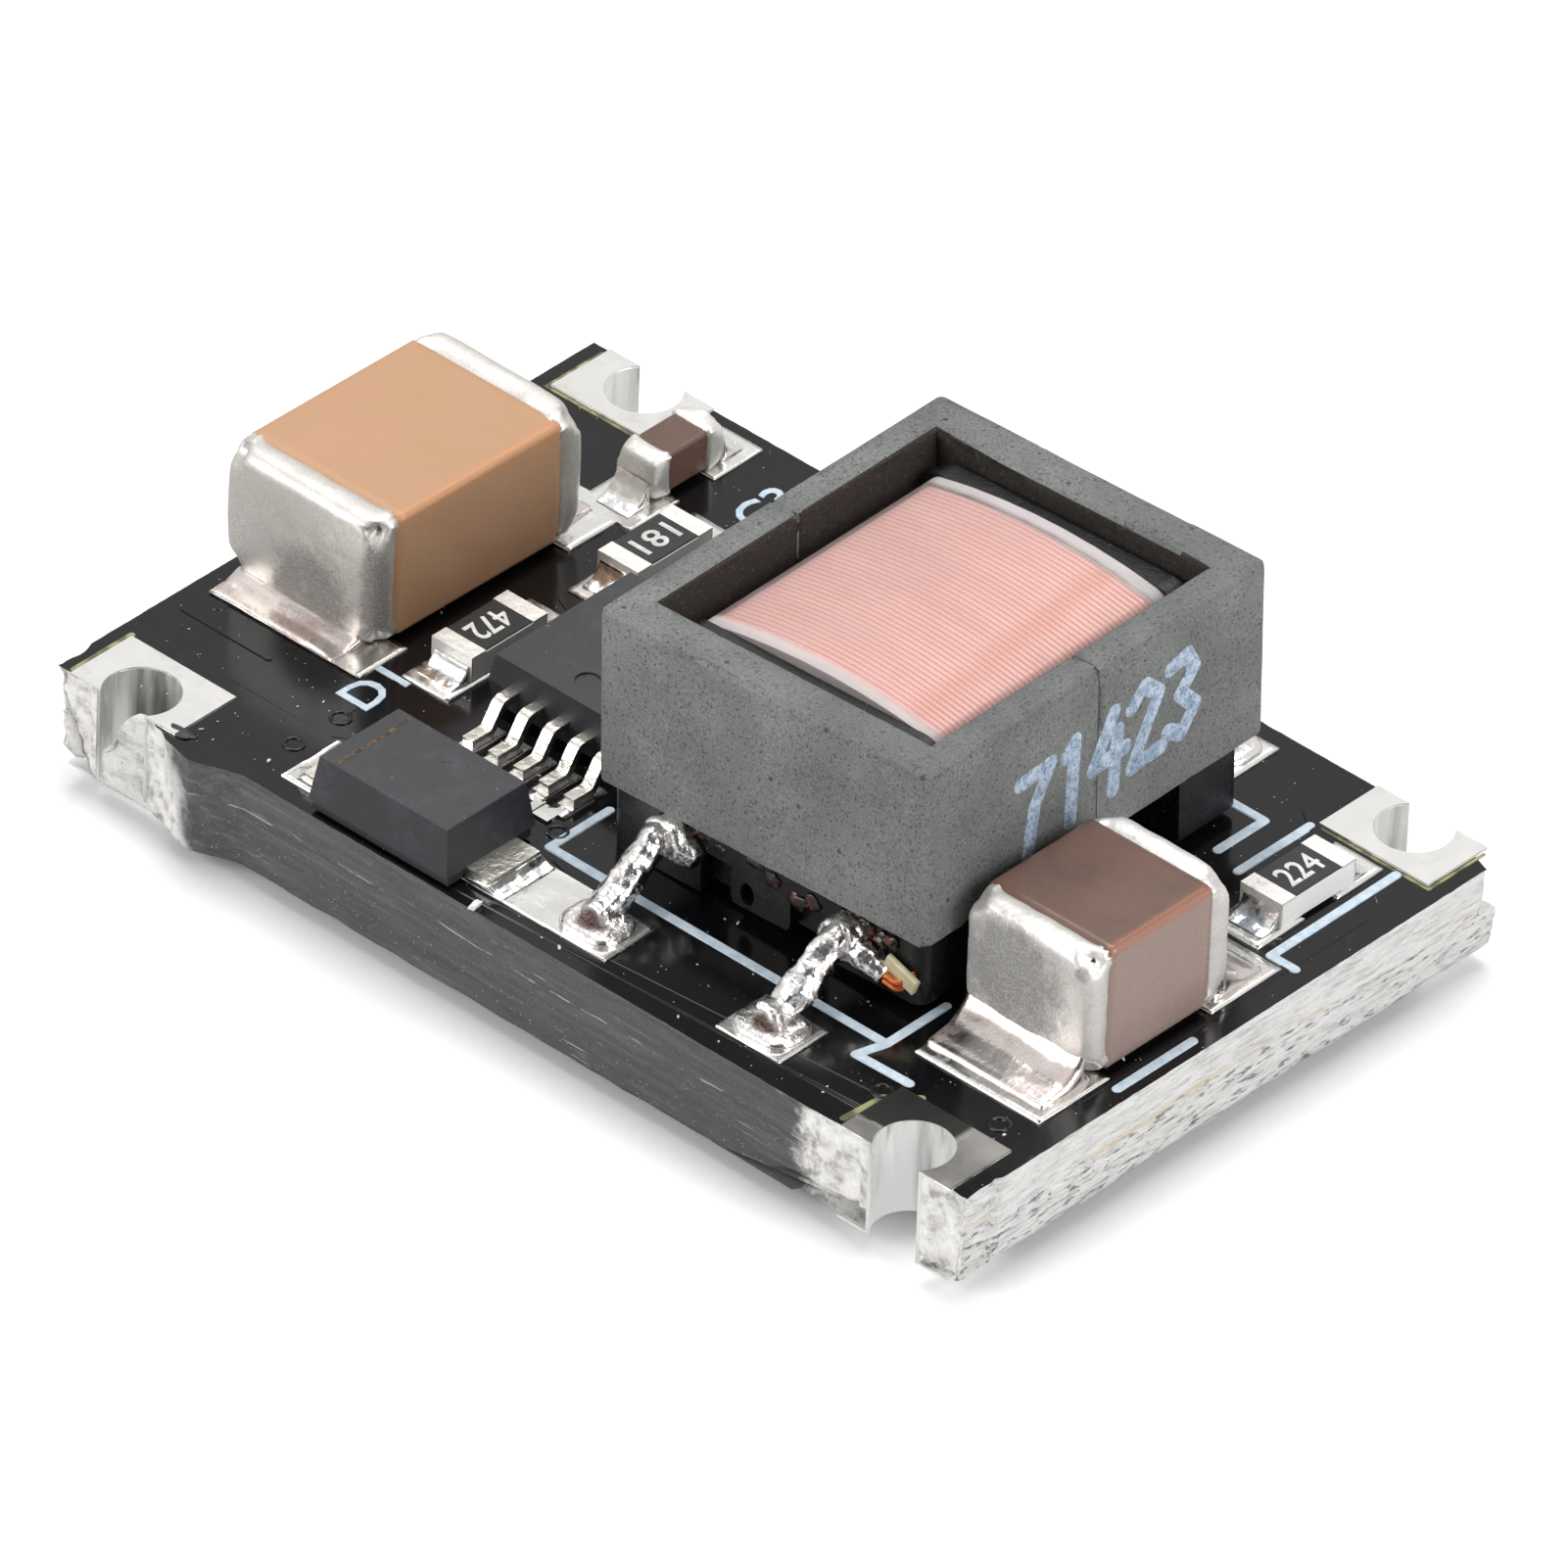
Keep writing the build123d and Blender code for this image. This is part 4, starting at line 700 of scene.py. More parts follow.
grid_cut(board, "Z", 0.09, 0, BOARD_TOP - 0.02, is_side)
grid_cut(board, "X", SIDE_GRID, -HALF_LENGTH, HALF_LENGTH, lambda f: is_side(f) and abs(f.normal.y) > 0.5)
grid_cut(board, "Y", SIDE_GRID, -HALF_WIDTH, HALF_WIDTH, lambda f: is_side(f) and abs(f.normal.x) > 0.5)
for axis, place in (("X", BREAK_X), ("Y", BREAK_Y)):
    grid_cut(board, axis, 1, place - 1, place, lambda f: f.normal.z < -0.9)
grid_cut(board, "X", SIDE_GRID, -9.0, BREAK_X, is_broken_corner)
grid_cut(board, "Y", SIDE_GRID, -6.0, BREAK_Y, is_broken_corner)
board.normal_update()
for corner in board.verts:
    x, y, z = (c / MM for c in corner.co)
    if x < BREAK_X and y < BREAK_Y:
        slope = min(1, (BREAK_X - x) / 0.25) * 0.22 + max(0, (-8.5 - x) / 0.48) * 0.6
        lift = slope * min(1, (BREAK_Y - y) / 0.7) * (1 + 0.25 * rough_value(corner.co, 0.25, 3))
        corner.co.z += lift * MM * (1 - z / BOARD_TOP)
board.normal_update()
for corner in board.verts:
    side_normals = [f.normal for f in corner.link_faces if is_side(f)]
    x, y, z = (c / MM for c in corner.co)
    in_notch = abs(abs(x) - NOTCH_X) < NOTCH_REACH and abs(y) > HALF_WIDTH - NOTCH_DEPTH
    if in_notch or not side_normals:
        continue
    low = 1 - z / BOARD_TOP
    depth = 0.012 + 0.012 * rough_value(corner.co, 0.5)
    if abs(x) > HALF_LENGTH - 0.4:
        grooved = Vector((corner.co.x, corner.co.y * 0.14, corner.co.z))
        depth += 0.05 * max(0, rough_value(grooved, 0.16)) + 0.03 * max(0, rough_value(grooved, 0.4, 3))
        depth += 0.1 * max(0, low - 0.75) * (1 + rough_value(corner.co, 0.5, 7)) * (x > 0)
    torn = max(0, min(1, (-6.1 - x) / 0.8), min(1, (x - 6.2) / 0.7)) if y < -5.0 else 0
    depth += torn * (0.07 + 0.11 * max(0, rough_value(corner.co, 0.35, 5)) + 0.05 * rough_value(corner.co, 0.13, 9))
    depth += 0.12 * max(0, low - 0.7) * max(0, rough_value(corner.co, 0.6, 11) + 0.2) * (abs(x) < 5.5)
    if UNDERCUT_FROM < x < UNDERCUT_TO and y < -5.3:
        depth += 0.8 * min(1, (x - UNDERCUT_FROM) / 0.8) * max(0, UNDERCUT_HEIGHT - z) / UNDERCUT_HEIGHT
    if z > BOARD_TOP - 0.001:
        depth = 0.012 * (1 + rough_value(corner.co, 0.2, 2)) + torn * 0.05 * (1 + rough_value(corner.co, 0.3, 4))
    outward = sum(side_normals, Vector()).normalized()
    corner.co -= Vector((outward.x, outward.y, 0)).normalized() * depth * MM
for face in board.faces:
    heights = [v.co.z / MM for v in face.verts]
    if min(heights) < BOARD_TOP - 0.01 and max(heights) > 0.01:
        face.material_index = 2 if abs(face.normal.x) > 0.5 else 1
show("board_with_torn_sides", board, (mask, milled, sawn), "solder_mask", "circuit_board", sharp=60)

# %% [markdown]
# The torn lip
#
# At the left front corner a curtain of torn laminate hangs across the mouth of the hole, full height at its right end
# and half gone at its left. It is a block cut into a grid: its top slopes, and two sizes of noise break its faces.

# %% Torn laminate across the left hole
LIP = ((-8.04, -6.6), (-5.75, -5.44), (0, BOARD_TOP))    # from and to, along each axis
lip = bmesh.new()
bmesh.ops.create_cube(lip, size=1, matrix=(
    Matrix.Translation(Vector([(start + end) / 2 for start, end in LIP]) * MM)
    @ Matrix.Diagonal([(end - start) * MM for start, end in LIP] + [1])))
for axis, (start, end) in zip("XYZ", LIP):
    grid_cut(lip, axis, 0.05, start, end)
for corner in lip.verts:
    x = corner.co.x / MM
    gone = 0.35 * max(0, -6.95 - x) + 1.3 * max(0, -7.52 - x) + 0.02
    top = BOARD_TOP - gone + 0.1 * rough_value(corner.co, 0.25, 6)
    corner.co.z *= top / BOARD_TOP
    corner.co.y += max(0, x + 6.85) * 0.5 * MM    # its right end sinks into the board's flank
for grain, depth, seed, share in ((0.5, 0.1, 2.0, 0.3), (0.15, 0.03, 5.0, 0.35)):
    dent(lip, grain, depth, seed, lambda co: co.z > 0.0001, share)
soften(lip, 2)
for corner in lip.verts:
    corner.co.y = max(corner.co.y, -5.77 * MM)
    corner.co.z = min(corner.co.z, 1.66 * MM)
show("torn_laminate_lip", lip, (broken,), "solder_mask", sharp=180)

# %% [markdown]
# Copper under the mask
#
# Traces of copper lie under the varnish and lift it by a hundredth of a millimetre, which shows as soft ridges with a
# bright line on one side. Each ridge is the convex hull of flat discs, so its ends are round. A small circle spun
# round an axis makes the lip of each filled via.

# %% Traces and via rings under the mask
STACK = 0.0007    # each bar is this much thicker than the one before, so that no two faces lie in one plane


def strip_between(shape, ends, width_mm, low_mm, high_mm, lay=Matrix.Identity(4)):
    """A flat bar with round ends, from one disc to another; lay moves it from the board's plane to another."""
    corners = []
    for x, y in ends:
        for z, radius in ((low_mm, width_mm / 2), (high_mm, width_mm / 2 * 0.86)):
            made = bmesh.ops.create_circle(shape, cap_ends=False, segments=14, radius=radius * MM,
                                           matrix=lay @ Matrix.Translation(Vector((x, y, z)) * MM))
            corners += made["verts"]
    hull = bmesh.ops.convex_hull(shape, input=corners, use_existing_faces=False)
    inside = [g for g in hull["geom_interior"] if isinstance(g, bmesh.types.BMVert)]
    bmesh.ops.delete(shape, geom=inside, context="VERTS")


def show_strips(name, shape, finish, slot, *replaced, sharp=50):
    bmesh.ops.recalc_face_normals(shape, faces=shape.faces)
    show(name, shape, (finish,), slot, *replaced, sharp=sharp)


TRACES = (
    ((-7.0, -4.1), (-4.96, -4.08), 0.16), ((-4.96, -4.08), (-4.5, -3.7), 0.16), ((-8.3, -3.0), (-8.3, 3.2), 0.24),
    ((-5.2, -2.4), (-5.2, -3.5), 0.14), ((6.1, -3.6), (8.3, -3.6), 0.2),
    ((8.5, -2.9), (8.5, 3.2), 0.18), ((-3.4, 2.9), (-3.4, 4.6), 0.16), ((-3.4, 4.6), (-1.6, 5.2), 0.16),
    ((-4.2, 0.4), (-4.9, 0.7), 0.14), ((-0.6, -4.0), (0.3, -4.2), 0.14), ((6.2, 4.6), (6.9, 4.1), 0.2),
    ((-1.2, 3.6), (-1.2, 4.9), 0.2), ((-8.6, -3.4), (-6.9, -3.4), 0.12),
)
VIAS = ((-5.16, -3.71), (-5.2, -4.65), (-1.05, -3.5), (-4.1, 3.6), (-2.6, 3.3), (6.4, -4.7), (-0.75, 2.9), (8.1, -4.1))
RING_RADIUS, RING_SECTION = 0.15, 0.035
traces = bmesh.new()
for count, (start, end, width) in enumerate(TRACES):
    strip_between(traces, (start, end), width, BOARD_TOP - 0.01, BOARD_TOP + 0.01 + count * STACK)
for x, y in VIAS:
    ring_place = Matrix.Translation(Vector((x + RING_RADIUS, y, BOARD_TOP - 0.004)) * MM)
    section = bmesh.ops.create_circle(traces, cap_ends=False, segments=8, radius=RING_SECTION * MM,
                                      matrix=ring_place @ Matrix.Rotation(math.pi / 2, 4, "X"))
    rim = section["verts"] + list({e for v in section["verts"] for e in v.link_edges})
    bmesh.ops.spin(traces, geom=rim, cent=Vector((x, y, 0)) * MM, axis=(0, 0, 1), angle=math.tau, steps=24,
                   use_merge=True)
show_strips("masked_traces_and_vias", traces, mask, "solder_mask")

# %% [markdown]
# The transformer's core
#
# Pressed ferrite has no truly sharp edge: its rims are rubbed round and nibbled by tiny chips. Each half is cut into a
# grid, and the corners on a sharp edge move inwards by a noise that is mostly small and now and then deep.

# %% Core halves with rubbed edges
WINDOW = (2.58, 2.97)    # half the window's width and length
SEAT = (Matrix.Translation((2.56, 0.45, 2.853)) @ Matrix.Rotation(math.radians(0.9), 4, "Z")
        @ Matrix.Rotation(math.radians(-1.8), 4, "Y"))


def worked_core(name, node, seed):
    """A half of the core: its sharp edges are rubbed and chipped, and its window's inner walls get a near-black finish
    as painted shade.
    """
    shape, _, _ = diced(node, 0.16, 0.05)
    shape.normal_update()
    moves = {}
    for v in shape.verts:
        depth = 0.004 * (1 + rough_value(v.co, 0.5, seed))
        if max((e.calc_face_angle(0) for e in v.link_edges), default=0) > math.radians(25):
            depth += 0.012 + 0.03 * max(0, rough_value(v.co, 0.22, seed + 4)) ** 2 * 2
            if abs((SEAT.inverted() @ (v.co / MM)).y) < 0.06:    # the joint between the halves is chipped open
                depth += 0.03 + 0.03 * max(0, rough_value(v.co, 0.3, seed + 9))
        moves[v] = -v.normal * depth * MM
    for v, move in moves.items():
        v.co += move
    for face in shape.faces:
        place = SEAT.inverted() @ (face.calc_center_median() / MM)
        in_window = abs(place.x) < WINDOW[0] + 0.04 and abs(place.y) < WINDOW[1] + 0.04
        # the window's inner walls take the painted shade finish
        face.material_index = int(in_window and abs(face.normal.z) < 0.8)
    show(name, shape, (ferrite, window_shade_ferrite), "ferrite", node, sharp=30)


worked_core("ferrite_front_half", "core_front_half", 1.0)
worked_core("ferrite_back_half", "core_back_half", 6.0)

# %% [markdown]
# The winding
#
# The coil is one layer of round wire, laid turn beside turn. A true helix would need far more faces than its look is
# worth, so the coil's own outline is cut at four planes a turn, and the corners between two turns sink by a third of
# a wire. From any side that reads as wires, in light and in shadow.

# %% Outer winding with its turns
WIRE = 0.1
winding = merged("outer_winding")
coil_low, coil_high = box_mm("outer_winding")
coil_centre = (coil_low + coil_high) / 2
grid_cut(winding, "Y", WIRE / 4, coil_low.y - WIRE / 8, coil_high.y, lambda f: abs(f.normal.y) < 0.5)
winding.normal_update()
for v in winding.verts:
    if abs(v.co.x / MM - coil_centre.x) >= 1.95 or abs(v.co.z / MM - coil_centre.z) >= 0.9:    # not the inner wall
        turn = (v.co.y / MM - coil_low.y) / WIRE % 1.0
        sink = 0.03 * (1 - math.sqrt(max(0, 1 - (2 * turn - 1) ** 2))) + 0.012
        v.co -= Vector((v.normal.x, 0, v.normal.z)).normalized() * sink * MM
show("fine_wire_turns", winding, (wire,), "enamelled_wire", "outer_winding", sharp=80)
for finish, node in ((film, "outer_tape"), (inner_film, "inner_tape"), (wire, "inner_winding"),
                     (bobbin_plastic, "bobbin"), (copper, "copper_strands"), (sleeve, "wire_sleeve")):
    dress(finish, node)

# %% [markdown]
# Capacitor ends
#
# The paste on a capacitor's ends was dipped, so its edge on the ceramic is wavy and its surface slightly lumpy. Both
# come from moving the corners of a finer grid: along the part for the edge, and along the normal for the surface.

# %% Fired end caps
def fired_ends(part, finish, band_mm, wave_mm, grid_mm, lump_mm, seed, round_steps):
    node = f"{part}_end_caps"
    shape, low, high = diced(node, grid_mm, grid_mm * 0.4)
    centre, half = (low + high) / 2, (high - low) / 2
    inner_edge = half.y - band_mm

    def off_centre(v, k):
        return abs(v.co[k] / MM - centre[k])

    shape.normal_update()
    hidden = {v for v in shape.verts if v.normal.dot(v.co - centre * MM) < 0
              and all(off_centre(v, k) < half[k] - 0.03 for k in range(3))}
    for v in hidden:    # the hollow that holds the ceramic shrinks, so that the rounded outside stays clear of it
        v.co += (centre * MM - v.co) * 0.16
    corners = [v for v in shape.verts if v not in hidden and all(off_centre(v, k) > half[k] - 0.28 for k in range(3))]
    bmesh.ops.remove_doubles(shape, verts=corners, dist=0.08 * MM)    # thins out the crowded round corners
    outer = set(shape.verts) - hidden
    skirt = [v for v in outer if off_centre(v, 1) > inner_edge + 0.06]
    edge = [v for v in outer if off_centre(v, 1) <= inner_edge + 0.06]
    for _ in range(round_steps):
        soften(shape, 1, skirt)
        soften(shape, 1, edge, "XZ")
    dent(shape, 0.4, lump_mm, seed, share=0.1)
    for v in shape.verts:
        if off_centre(v, 1) - inner_edge < 0.08:
            side = 1 if v.co.y / MM > centre.y else -1
            v.co.y += side * wave_mm * MM * rough_value(Vector((v.co.x, side * 0.003, v.co.z)), 0.28, seed)
    show(f"{part}_fired_ends", shape, (finish,), "end_cap_metal", node, sharp=35)


def fired_block(part, finish, slot, hidden_mm, round_steps, grid_mm):
    """The ceramic between the caps: its long edges are rounded, and it narrows where the caps cover it."""
    node = f"{part}_block"
    shape, low, high = diced(node, grid_mm, grid_mm * 0.4)
    middle, half = (low + high) / 2, (high - low) / 2
    soften(shape, round_steps, axes="XZ")
    for v in shape.verts:
        covered = min(1, max(0, (abs(v.co.y / MM - middle.y) - (half.y - hidden_mm)) / 0.15))
        for axis in (0, 2):
            v.co[axis] += (middle[axis] * MM - v.co[axis]) * covered * 0.2
    show(f"{part}_ceramic", shape, (finish,), slot, node, sharp=35)


fired_ends("large_capacitor", fired_caps, 0.6, 0.02, 0.1, 0.014, 2.0, 14)
fired_ends("second_capacitor", bright_caps, 0.54, 0.05, 0.1, 0.02, 5.0, 12)
fired_ends("small_capacitor", bright_caps, 0.38, 0.02, 0.07, 0.008, 8.0, 4)
fired_block("large_capacitor", tan_ceramic, "tan_ceramic", 0.5, 10, 0.1)
fired_block("second_capacitor", brown_ceramic, "brown_ceramic", 0.44, 8, 0.1)
fired_block("small_capacitor", brown_ceramic, "brown_ceramic", 0.28, 1, 0.07)
for finish, layer in ((chip_ceramic, "ceramic"), (resistor_coat, "coat"), (bright_caps, "ends")):
    dress(finish, *(f"{place}_chip_resistor_{layer}" for place in ("front", "rear", "end")))

# %% [markdown]
# Solder
#
# Solder freezes from a drop, so no edge on it is sharp. Each joint of the frame is melted: wrapped in a skin of small
# cubes, relaxed until it is soft, and rippled. A coarser ripple gives the pins and their wraps the lumps of joints
# made by hand.

# %% Melted joints and tinned pins
def melt_node(name, node, finish, slot, voxel_mm, relax, ripples, seed, swell_mm=0.0, flatten=1.0, tuck_mm=0.0):
    """swell_mm lets the skin grow outwards, flatten presses it down, and tuck_mm pushes its top into the end caps."""
    shape = melted(merged(node), voxel_mm, relax)
    foot, top = min(v.co.z for v in shape.verts), max(v.co.z for v in shape.verts)
    middle_y = sum(c.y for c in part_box(node)) / 2
    for v in shape.verts:
        v.co.y += math.copysign(tuck_mm * MM * (v.co.z - foot) / (top - foot), middle_y - v.co.y)
        v.co.z = foot + (v.co.z - foot) * flatten
    shape.normal_update()
    for v in shape.verts:
        v.co += v.normal * swell_mm * MM
    for grain, depth in ripples:
        dent(shape, grain, depth, seed)
    show(name, shape, (finish,), slot, node, sharp=180)


SOFT = ((0.35, 0.02), (0.14, 0.008))    # grain and depth of each ripple
GENTLE = ((0.6, 0.025),)
LUMPY = ((0.45, 0.09), (0.18, 0.03), (0.08, 0.01))
for part, finish, *melt in (
    ("large_capacitor", fluxed_solder, 0.04, 6, GENTLE, 1.0, 0.03, 0.85, 0.1),
    ("second_capacitor", fluxed_solder, 0.04, 10, GENTLE, 2.0, 0.06, 0.95, 0.14),
    ("small_capacitor", solder, 0.03, 3, SOFT, 3.0),
    ("chip_resistor", solder, 0.028, 3, SOFT, 4.0),
    ("diode", solder, 0.03, 2, SOFT, 5.0),
    ("front_pin", pin_solder, 0.035, 5, SOFT, 6.0, 0.02, 0.6),
    ("back_pin", pin_solder, 0.04, 4, SOFT, 7.0, 0.02, 0.6),
):
    melt_node(f"{part}_joints", f"{part}_solder", finish, "solder", *melt)
for node, slot, *melt in (
    ("front_pins", "lead_metal", 0.035, 3, LUMPY, 8.0, 0.07),
    ("back_pins", "lead_metal", 0.045, 2, LUMPY, 9.0, 0.06),
    ("front_wire_wraps", "solder", 0.03, 3, LUMPY, 10.0, 0.04),
    ("back_wire_wraps", "solder", 0.04, 2, LUMPY, 11.0, 0.04),
):
    melt_node(f"{node}_tinned", node, pin_solder, slot, *melt)
dress(solder, "controller_solder")
dress(lead_tin, "controller_leads", "diode_leads")
dress(terminal_tin, *[n for n in nodes if "edge_terminal" in n])
dress(worn_terminal_tin, "front_right_edge_terminal")
dress(black_moulding, "diode_body", "controller_body")
pads = merged("tinned_pads")
for axis in "XY":
    grid_cut(pads, axis, 0.12, -HALF_LENGTH, HALF_LENGTH, lambda f: f.normal.z > 0.9)
dent(pads, 0.35, 0.014, 12.0, lambda co: co.z > (BOARD_TOP + 0.03) * MM, share=0.4)
for v in pads.verts:    # the large capacitor's front pad ends closer to its foot
    if -8.8 < v.co.x / MM < -5.5 and v.co.y / MM < -2.95:
        v.co.y += 0.3 * MM
show("tinned_pads_rippled", pads, (tin,), "tin_plate", "tinned_pads", sharp=40)

# %% [markdown]
# Printed lines and numbers
#
# The board's printing is thick pale ink with round ends. Every resistor carries a three-figure value in white ink:
# the figures here are plain ones. A text object is made a mesh first, and its flat letters then go to their place.

# %% Printed lines
LINE_WIDTH = 0.165
LINES = (
    ((-0.89, -2.58), (-0.89, -3.84), (5.69, -3.84), (5.69, -2.58)),
    ((-0.89, 2.95), (-0.89, 3.95), (5.93, 3.95), (5.93, 2.95)),
    ((5.69, -3.84), (5.55, -4.33), (6.55, -4.3)),
    ((8.72, -2.29), (8.72, -0.69)),
    ((6.48, 2.78), (6.48, 4.33)),
    ((8.62, 1.61), (8.16, 1.61), (8.14, 4.33)),
)
lines = bmesh.new()
for run in LINES:
    for count, ends in enumerate(zip(run, run[1:])):
        strip_between(lines, ends, LINE_WIDTH, BOARD_TOP + 0.001, BOARD_TOP + 0.02 + count * STACK)
show_strips("printed_board_lines", lines, print_ink, "print_ink", "printed_lines")

# %% Figures on the resistors and letters beside the parts
def lettering(name, words, height_mm, width_mm, centre_mm, turn_deg, finish, thick_mm=0.008):
    """Flat letters, height_mm high and width_mm wide in all, centred at a place and turned about the vertical."""
    text = bpy.data.curves.new(name, "FONT")
    text.body, text.size, text.extrude, text.resolution_u = words, 1.0, 0.5, 3
    text.offset = 0.012
    shape = evaluated(linked(name, text))
    bmesh.ops.remove_doubles(shape, verts=shape.verts, dist=1e-5)
    low = Vector([min(v.co[k] for v in shape.verts) for k in range(3)])
    high = Vector([max(v.co[k] for v in shape.verts) for k in range(3)])
    bmesh.ops.translate(shape, verts=shape.verts, vec=-(low + high) / 2)
    size = Vector((width_mm / (high.x - low.x), height_mm / (high.y - low.y), thick_mm / (high.z - low.z))) * MM
    bmesh.ops.scale(shape, verts=shape.verts, vec=size)
    turn = Matrix.Rotation(math.radians(turn_deg), 3, "Z")
    bmesh.ops.rotate(shape, verts=shape.verts, cent=(0, 0, 0), matrix=turn)
    bmesh.ops.translate(shape, verts=shape.verts, vec=Vector(centre_mm) * MM)
    show(name, shape, (finish,), "print_ink", sharp=30)


for chip, figures, turn in (("front", "472", 270), ("rear", "181", 270), ("end", "224", 90)):
    low, high = box_mm(f"{chip}_chip_resistor_coat")
    place = ((low.x + high.x) / 2, (low.y + high.y) / 2, high.z + 0.004)
    lettering(f"{chip}_chip_resistor_figures", figures, 0.44, 0.74, place, turn, code_ink)
lettering("printed_letters_left", "D1", 0.62, 0.95, (-5.32, -2.86, BOARD_TOP + 0.008), 90, print_ink, 0.014)
lettering("printed_letters_rear", "C3", 0.62, 1.0, (-4.35, 4.45, BOARD_TOP + 0.008), 90, print_ink, 0.014)

# %% [markdown]
# Marks by hand
#
# Somebody wrote on the core's right side with a pale paint marker. The figures here are plain ones, made of flat bars
# that a matrix lays on the wall. The ink's Alpha has holes where the paint skipped over the pores.

# %% Painted figures on the core's right side
QUARTER = math.radians(90)
WALL = (Matrix.Scale(MM, 4) @ SEAT @ Matrix.Translation((3.15, 0, 1.5)) @ Matrix.Rotation(QUARTER, 4, "Z")
        @ Matrix.Rotation(QUARTER, 4, "X") @ Matrix.Scale(1 / MM, 4))
STROKES = {    # the points that each stroke of a figure runs through
    "7": (((-0.3, 0.62), (0.32, 0.66), (0.0, 0.1), (-0.12, -0.62)),),
    "2": (((-0.3, 0.42), (-0.02, 0.66), (0.26, 0.4), (-0.28, -0.58), (0.34, -0.54)),),
    "1": (((-0.12, 0.5), (0.06, 0.68), (-0.02, -0.62)),),
    "4": (((0.1, 0.64), (-0.32, -0.1), (0.34, -0.06)), ((0.18, 0.3), (0.1, -0.64))),
    "3": (((-0.26, 0.56), (0.08, 0.64), (0.24, 0.34), (-0.06, 0.06), (0.26, -0.28), (-0.02, -0.62), (-0.3, -0.46)),),
}
painted = bmesh.new()
for place, figure in enumerate("71423"):
    centre = Vector((-1.35 + place * 0.8, -0.32 + place * 0.1))
    bars = [ends for stroke in STROKES[figure] for ends in zip(stroke, stroke[1:])]
    for count, ends in enumerate(bars):
        ends = [centre + Vector(point) * 1.05 for point in ends]
        strip_between(painted, ends, 0.28, -0.005, 0.006 + count * STACK, WALL)
show_strips("painted_core_figures", painted, marker_ink, "print_ink", sharp=40)

# %% [markdown]
# Small things that a close-up shows
#
# The mask ends a little short of each corner pad, and its cut edge lets light through as an olive line. The diode has
# a brown line that marks its cathode. Flux cooked to dark resin sits on the terminal blocks by the pins, and a flake
# of mask stands up beside the left hole.

# %% Mask edges, cathode line and resin
edges = bmesh.new()
for side in (-1, 1):
    for end in (-1, 1):
        corner = (side * 8.7, end * 4.4)
        outer, inner = (corner, (side * 8.7, end * 5.6)), (corner, (side * 6.5, end * 4.4))
        wide = 0.06
        if (side, end) == (-1, -1):    # the torn corner has lost one of its lines
            wide, inner = 0.12, None
        elif (side, end) == (1, -1):    # the worn corner
            wide, outer, inner = 0.13, ((6.44, -5.55), (6.5, -4.8)), ((6.5, -4.8), (6.9, -4.42))
        strip_between(edges, outer, wide, BOARD_TOP - 0.005, BOARD_TOP + 0.008)
        if inner:
            strip_between(edges, inner, wide, BOARD_TOP - 0.005, BOARD_TOP + 0.008 + STACK)
show_strips("olive_mask_edges", edges, mask_edge, "solder_mask")

cathode = bmesh.new()
diode_low, diode_high = box_mm("diode_body")
line_x = diode_low.x + 0.42
strip_between(cathode, ((line_x, diode_low.y + 0.2), (line_x, diode_high.y - 0.2)), 0.07,
              diode_high.z - 0.005, diode_high.z + 0.004)
show_strips("cathode_line", cathode, cathode_ink, "black_moulding")


def resin_drop(shape, centre_mm, size_mm, seed):
    """A lump of resin: a ball pressed flat, with a slow dent."""
    made = bmesh.ops.create_icosphere(shape, subdivisions=3, radius=0.5 * MM)
    for v in made["verts"]:
        v.co *= 1 + 0.45 * rough_value(v.co, 0.35, seed)
        v.co = Vector(c * s for c, s in zip(v.co, size_mm)) + Vector(centre_mm) * MM


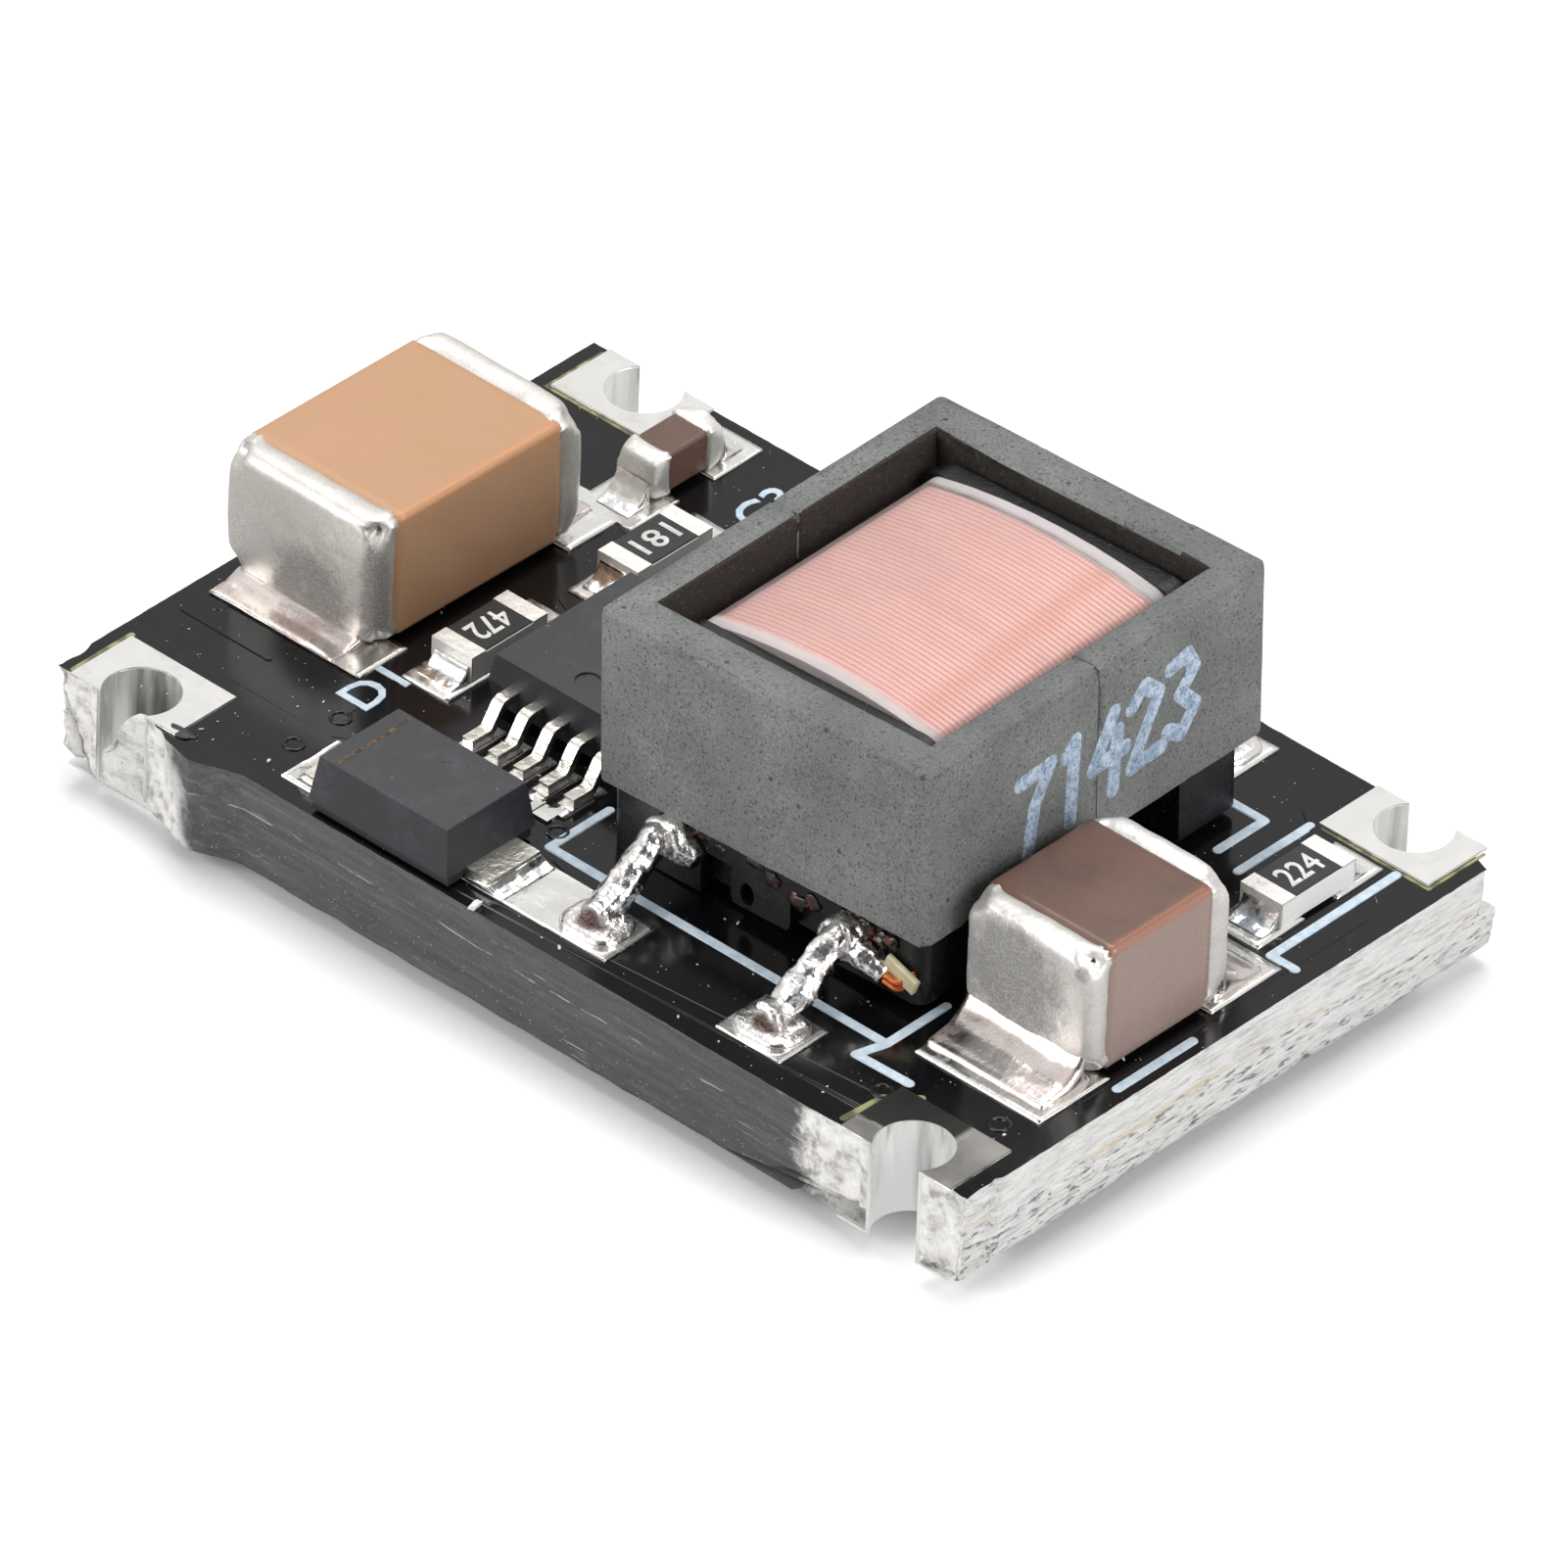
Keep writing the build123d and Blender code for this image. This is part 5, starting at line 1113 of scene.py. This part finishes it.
BLOCK_FACE_Y, BLOCK_ENDS = -3.11, (0.3, 5.2)
drops = bmesh.new()
random.seed(3)
for count in range(34):
    pin_x = random.choice((1.15, 1.15, 4.5, 4.5, 2.8))
    x = pin_x + random.gauss(0, 0.35 if pin_x != 2.8 else 1.0)
    size = random.uniform(0.1, 0.36)
    place = (min(BLOCK_ENDS[1], max(BLOCK_ENDS[0], x)), BLOCK_FACE_Y, 2.72 - random.random() ** 2 * 0.35)
    resin_drop(drops, place, (size * 1.4, size * 0.35, size), count * 1.7)
show("cooked_flux_drops", drops, (resin,), "bobbin_plastic", sharp=180)
flake = bmesh.new()
resin_drop(flake, (-6.62, -5.6, BOARD_TOP + 0.01), (0.7, 0.22, 0.06), 31.0)
show("mask_flake", flake, (resistor_coat,), "solder_mask", sharp=180)

# %% [markdown]
# Dust
#
# On black varnish every crumb of glass shows white. The crumbs are balls of few faces, flattened and turned by chance,
# more of them along the front edge where the board was cut. The largest chip lies beside the diode.

# %% Crumbs on the mask
crumb_finish = Finish("white_glass_crumbs", base_color=rgb(214, 214, 214), roughness=0.6)
random.seed(7)
noise.seed_set(7)    # without it, noise_vector changes with the clock
crumbs = bmesh.new()
for count in range(64):
    x = random.uniform(-8.6, 8.8)
    y = -5.5 + 9.8 * random.random() ** 2.2
    size = random.uniform(0.018, 0.04) * (1 + (random.random() > 0.9))
    turn = Matrix.Rotation(random.uniform(0, math.tau), 4, "Z")
    flat = Matrix.Diagonal((size * random.uniform(1, 2.6) * MM, size * MM, size * 0.5 * MM, 1))
    spot = Matrix.Translation(Vector((x, y, BOARD_TOP + 0.01)) * MM)
    crumb = bmesh.ops.create_icosphere(crumbs, subdivisions=1, radius=0.5, matrix=spot @ turn @ flat)
    for v in crumb["verts"]:
        v.co += noise.noise_vector(v.co / (0.02 * MM)) * size * 0.3 * MM
resin_drop(crumbs, (diode_high.x + 0.55, diode_low.y + 0.02, BOARD_TOP + 0.05), (0.1, 0.26, 0.12), 12.0)
show("glass_crumbs_on_mask", crumbs, (crumb_finish,), "solder_mask", sharp=180)
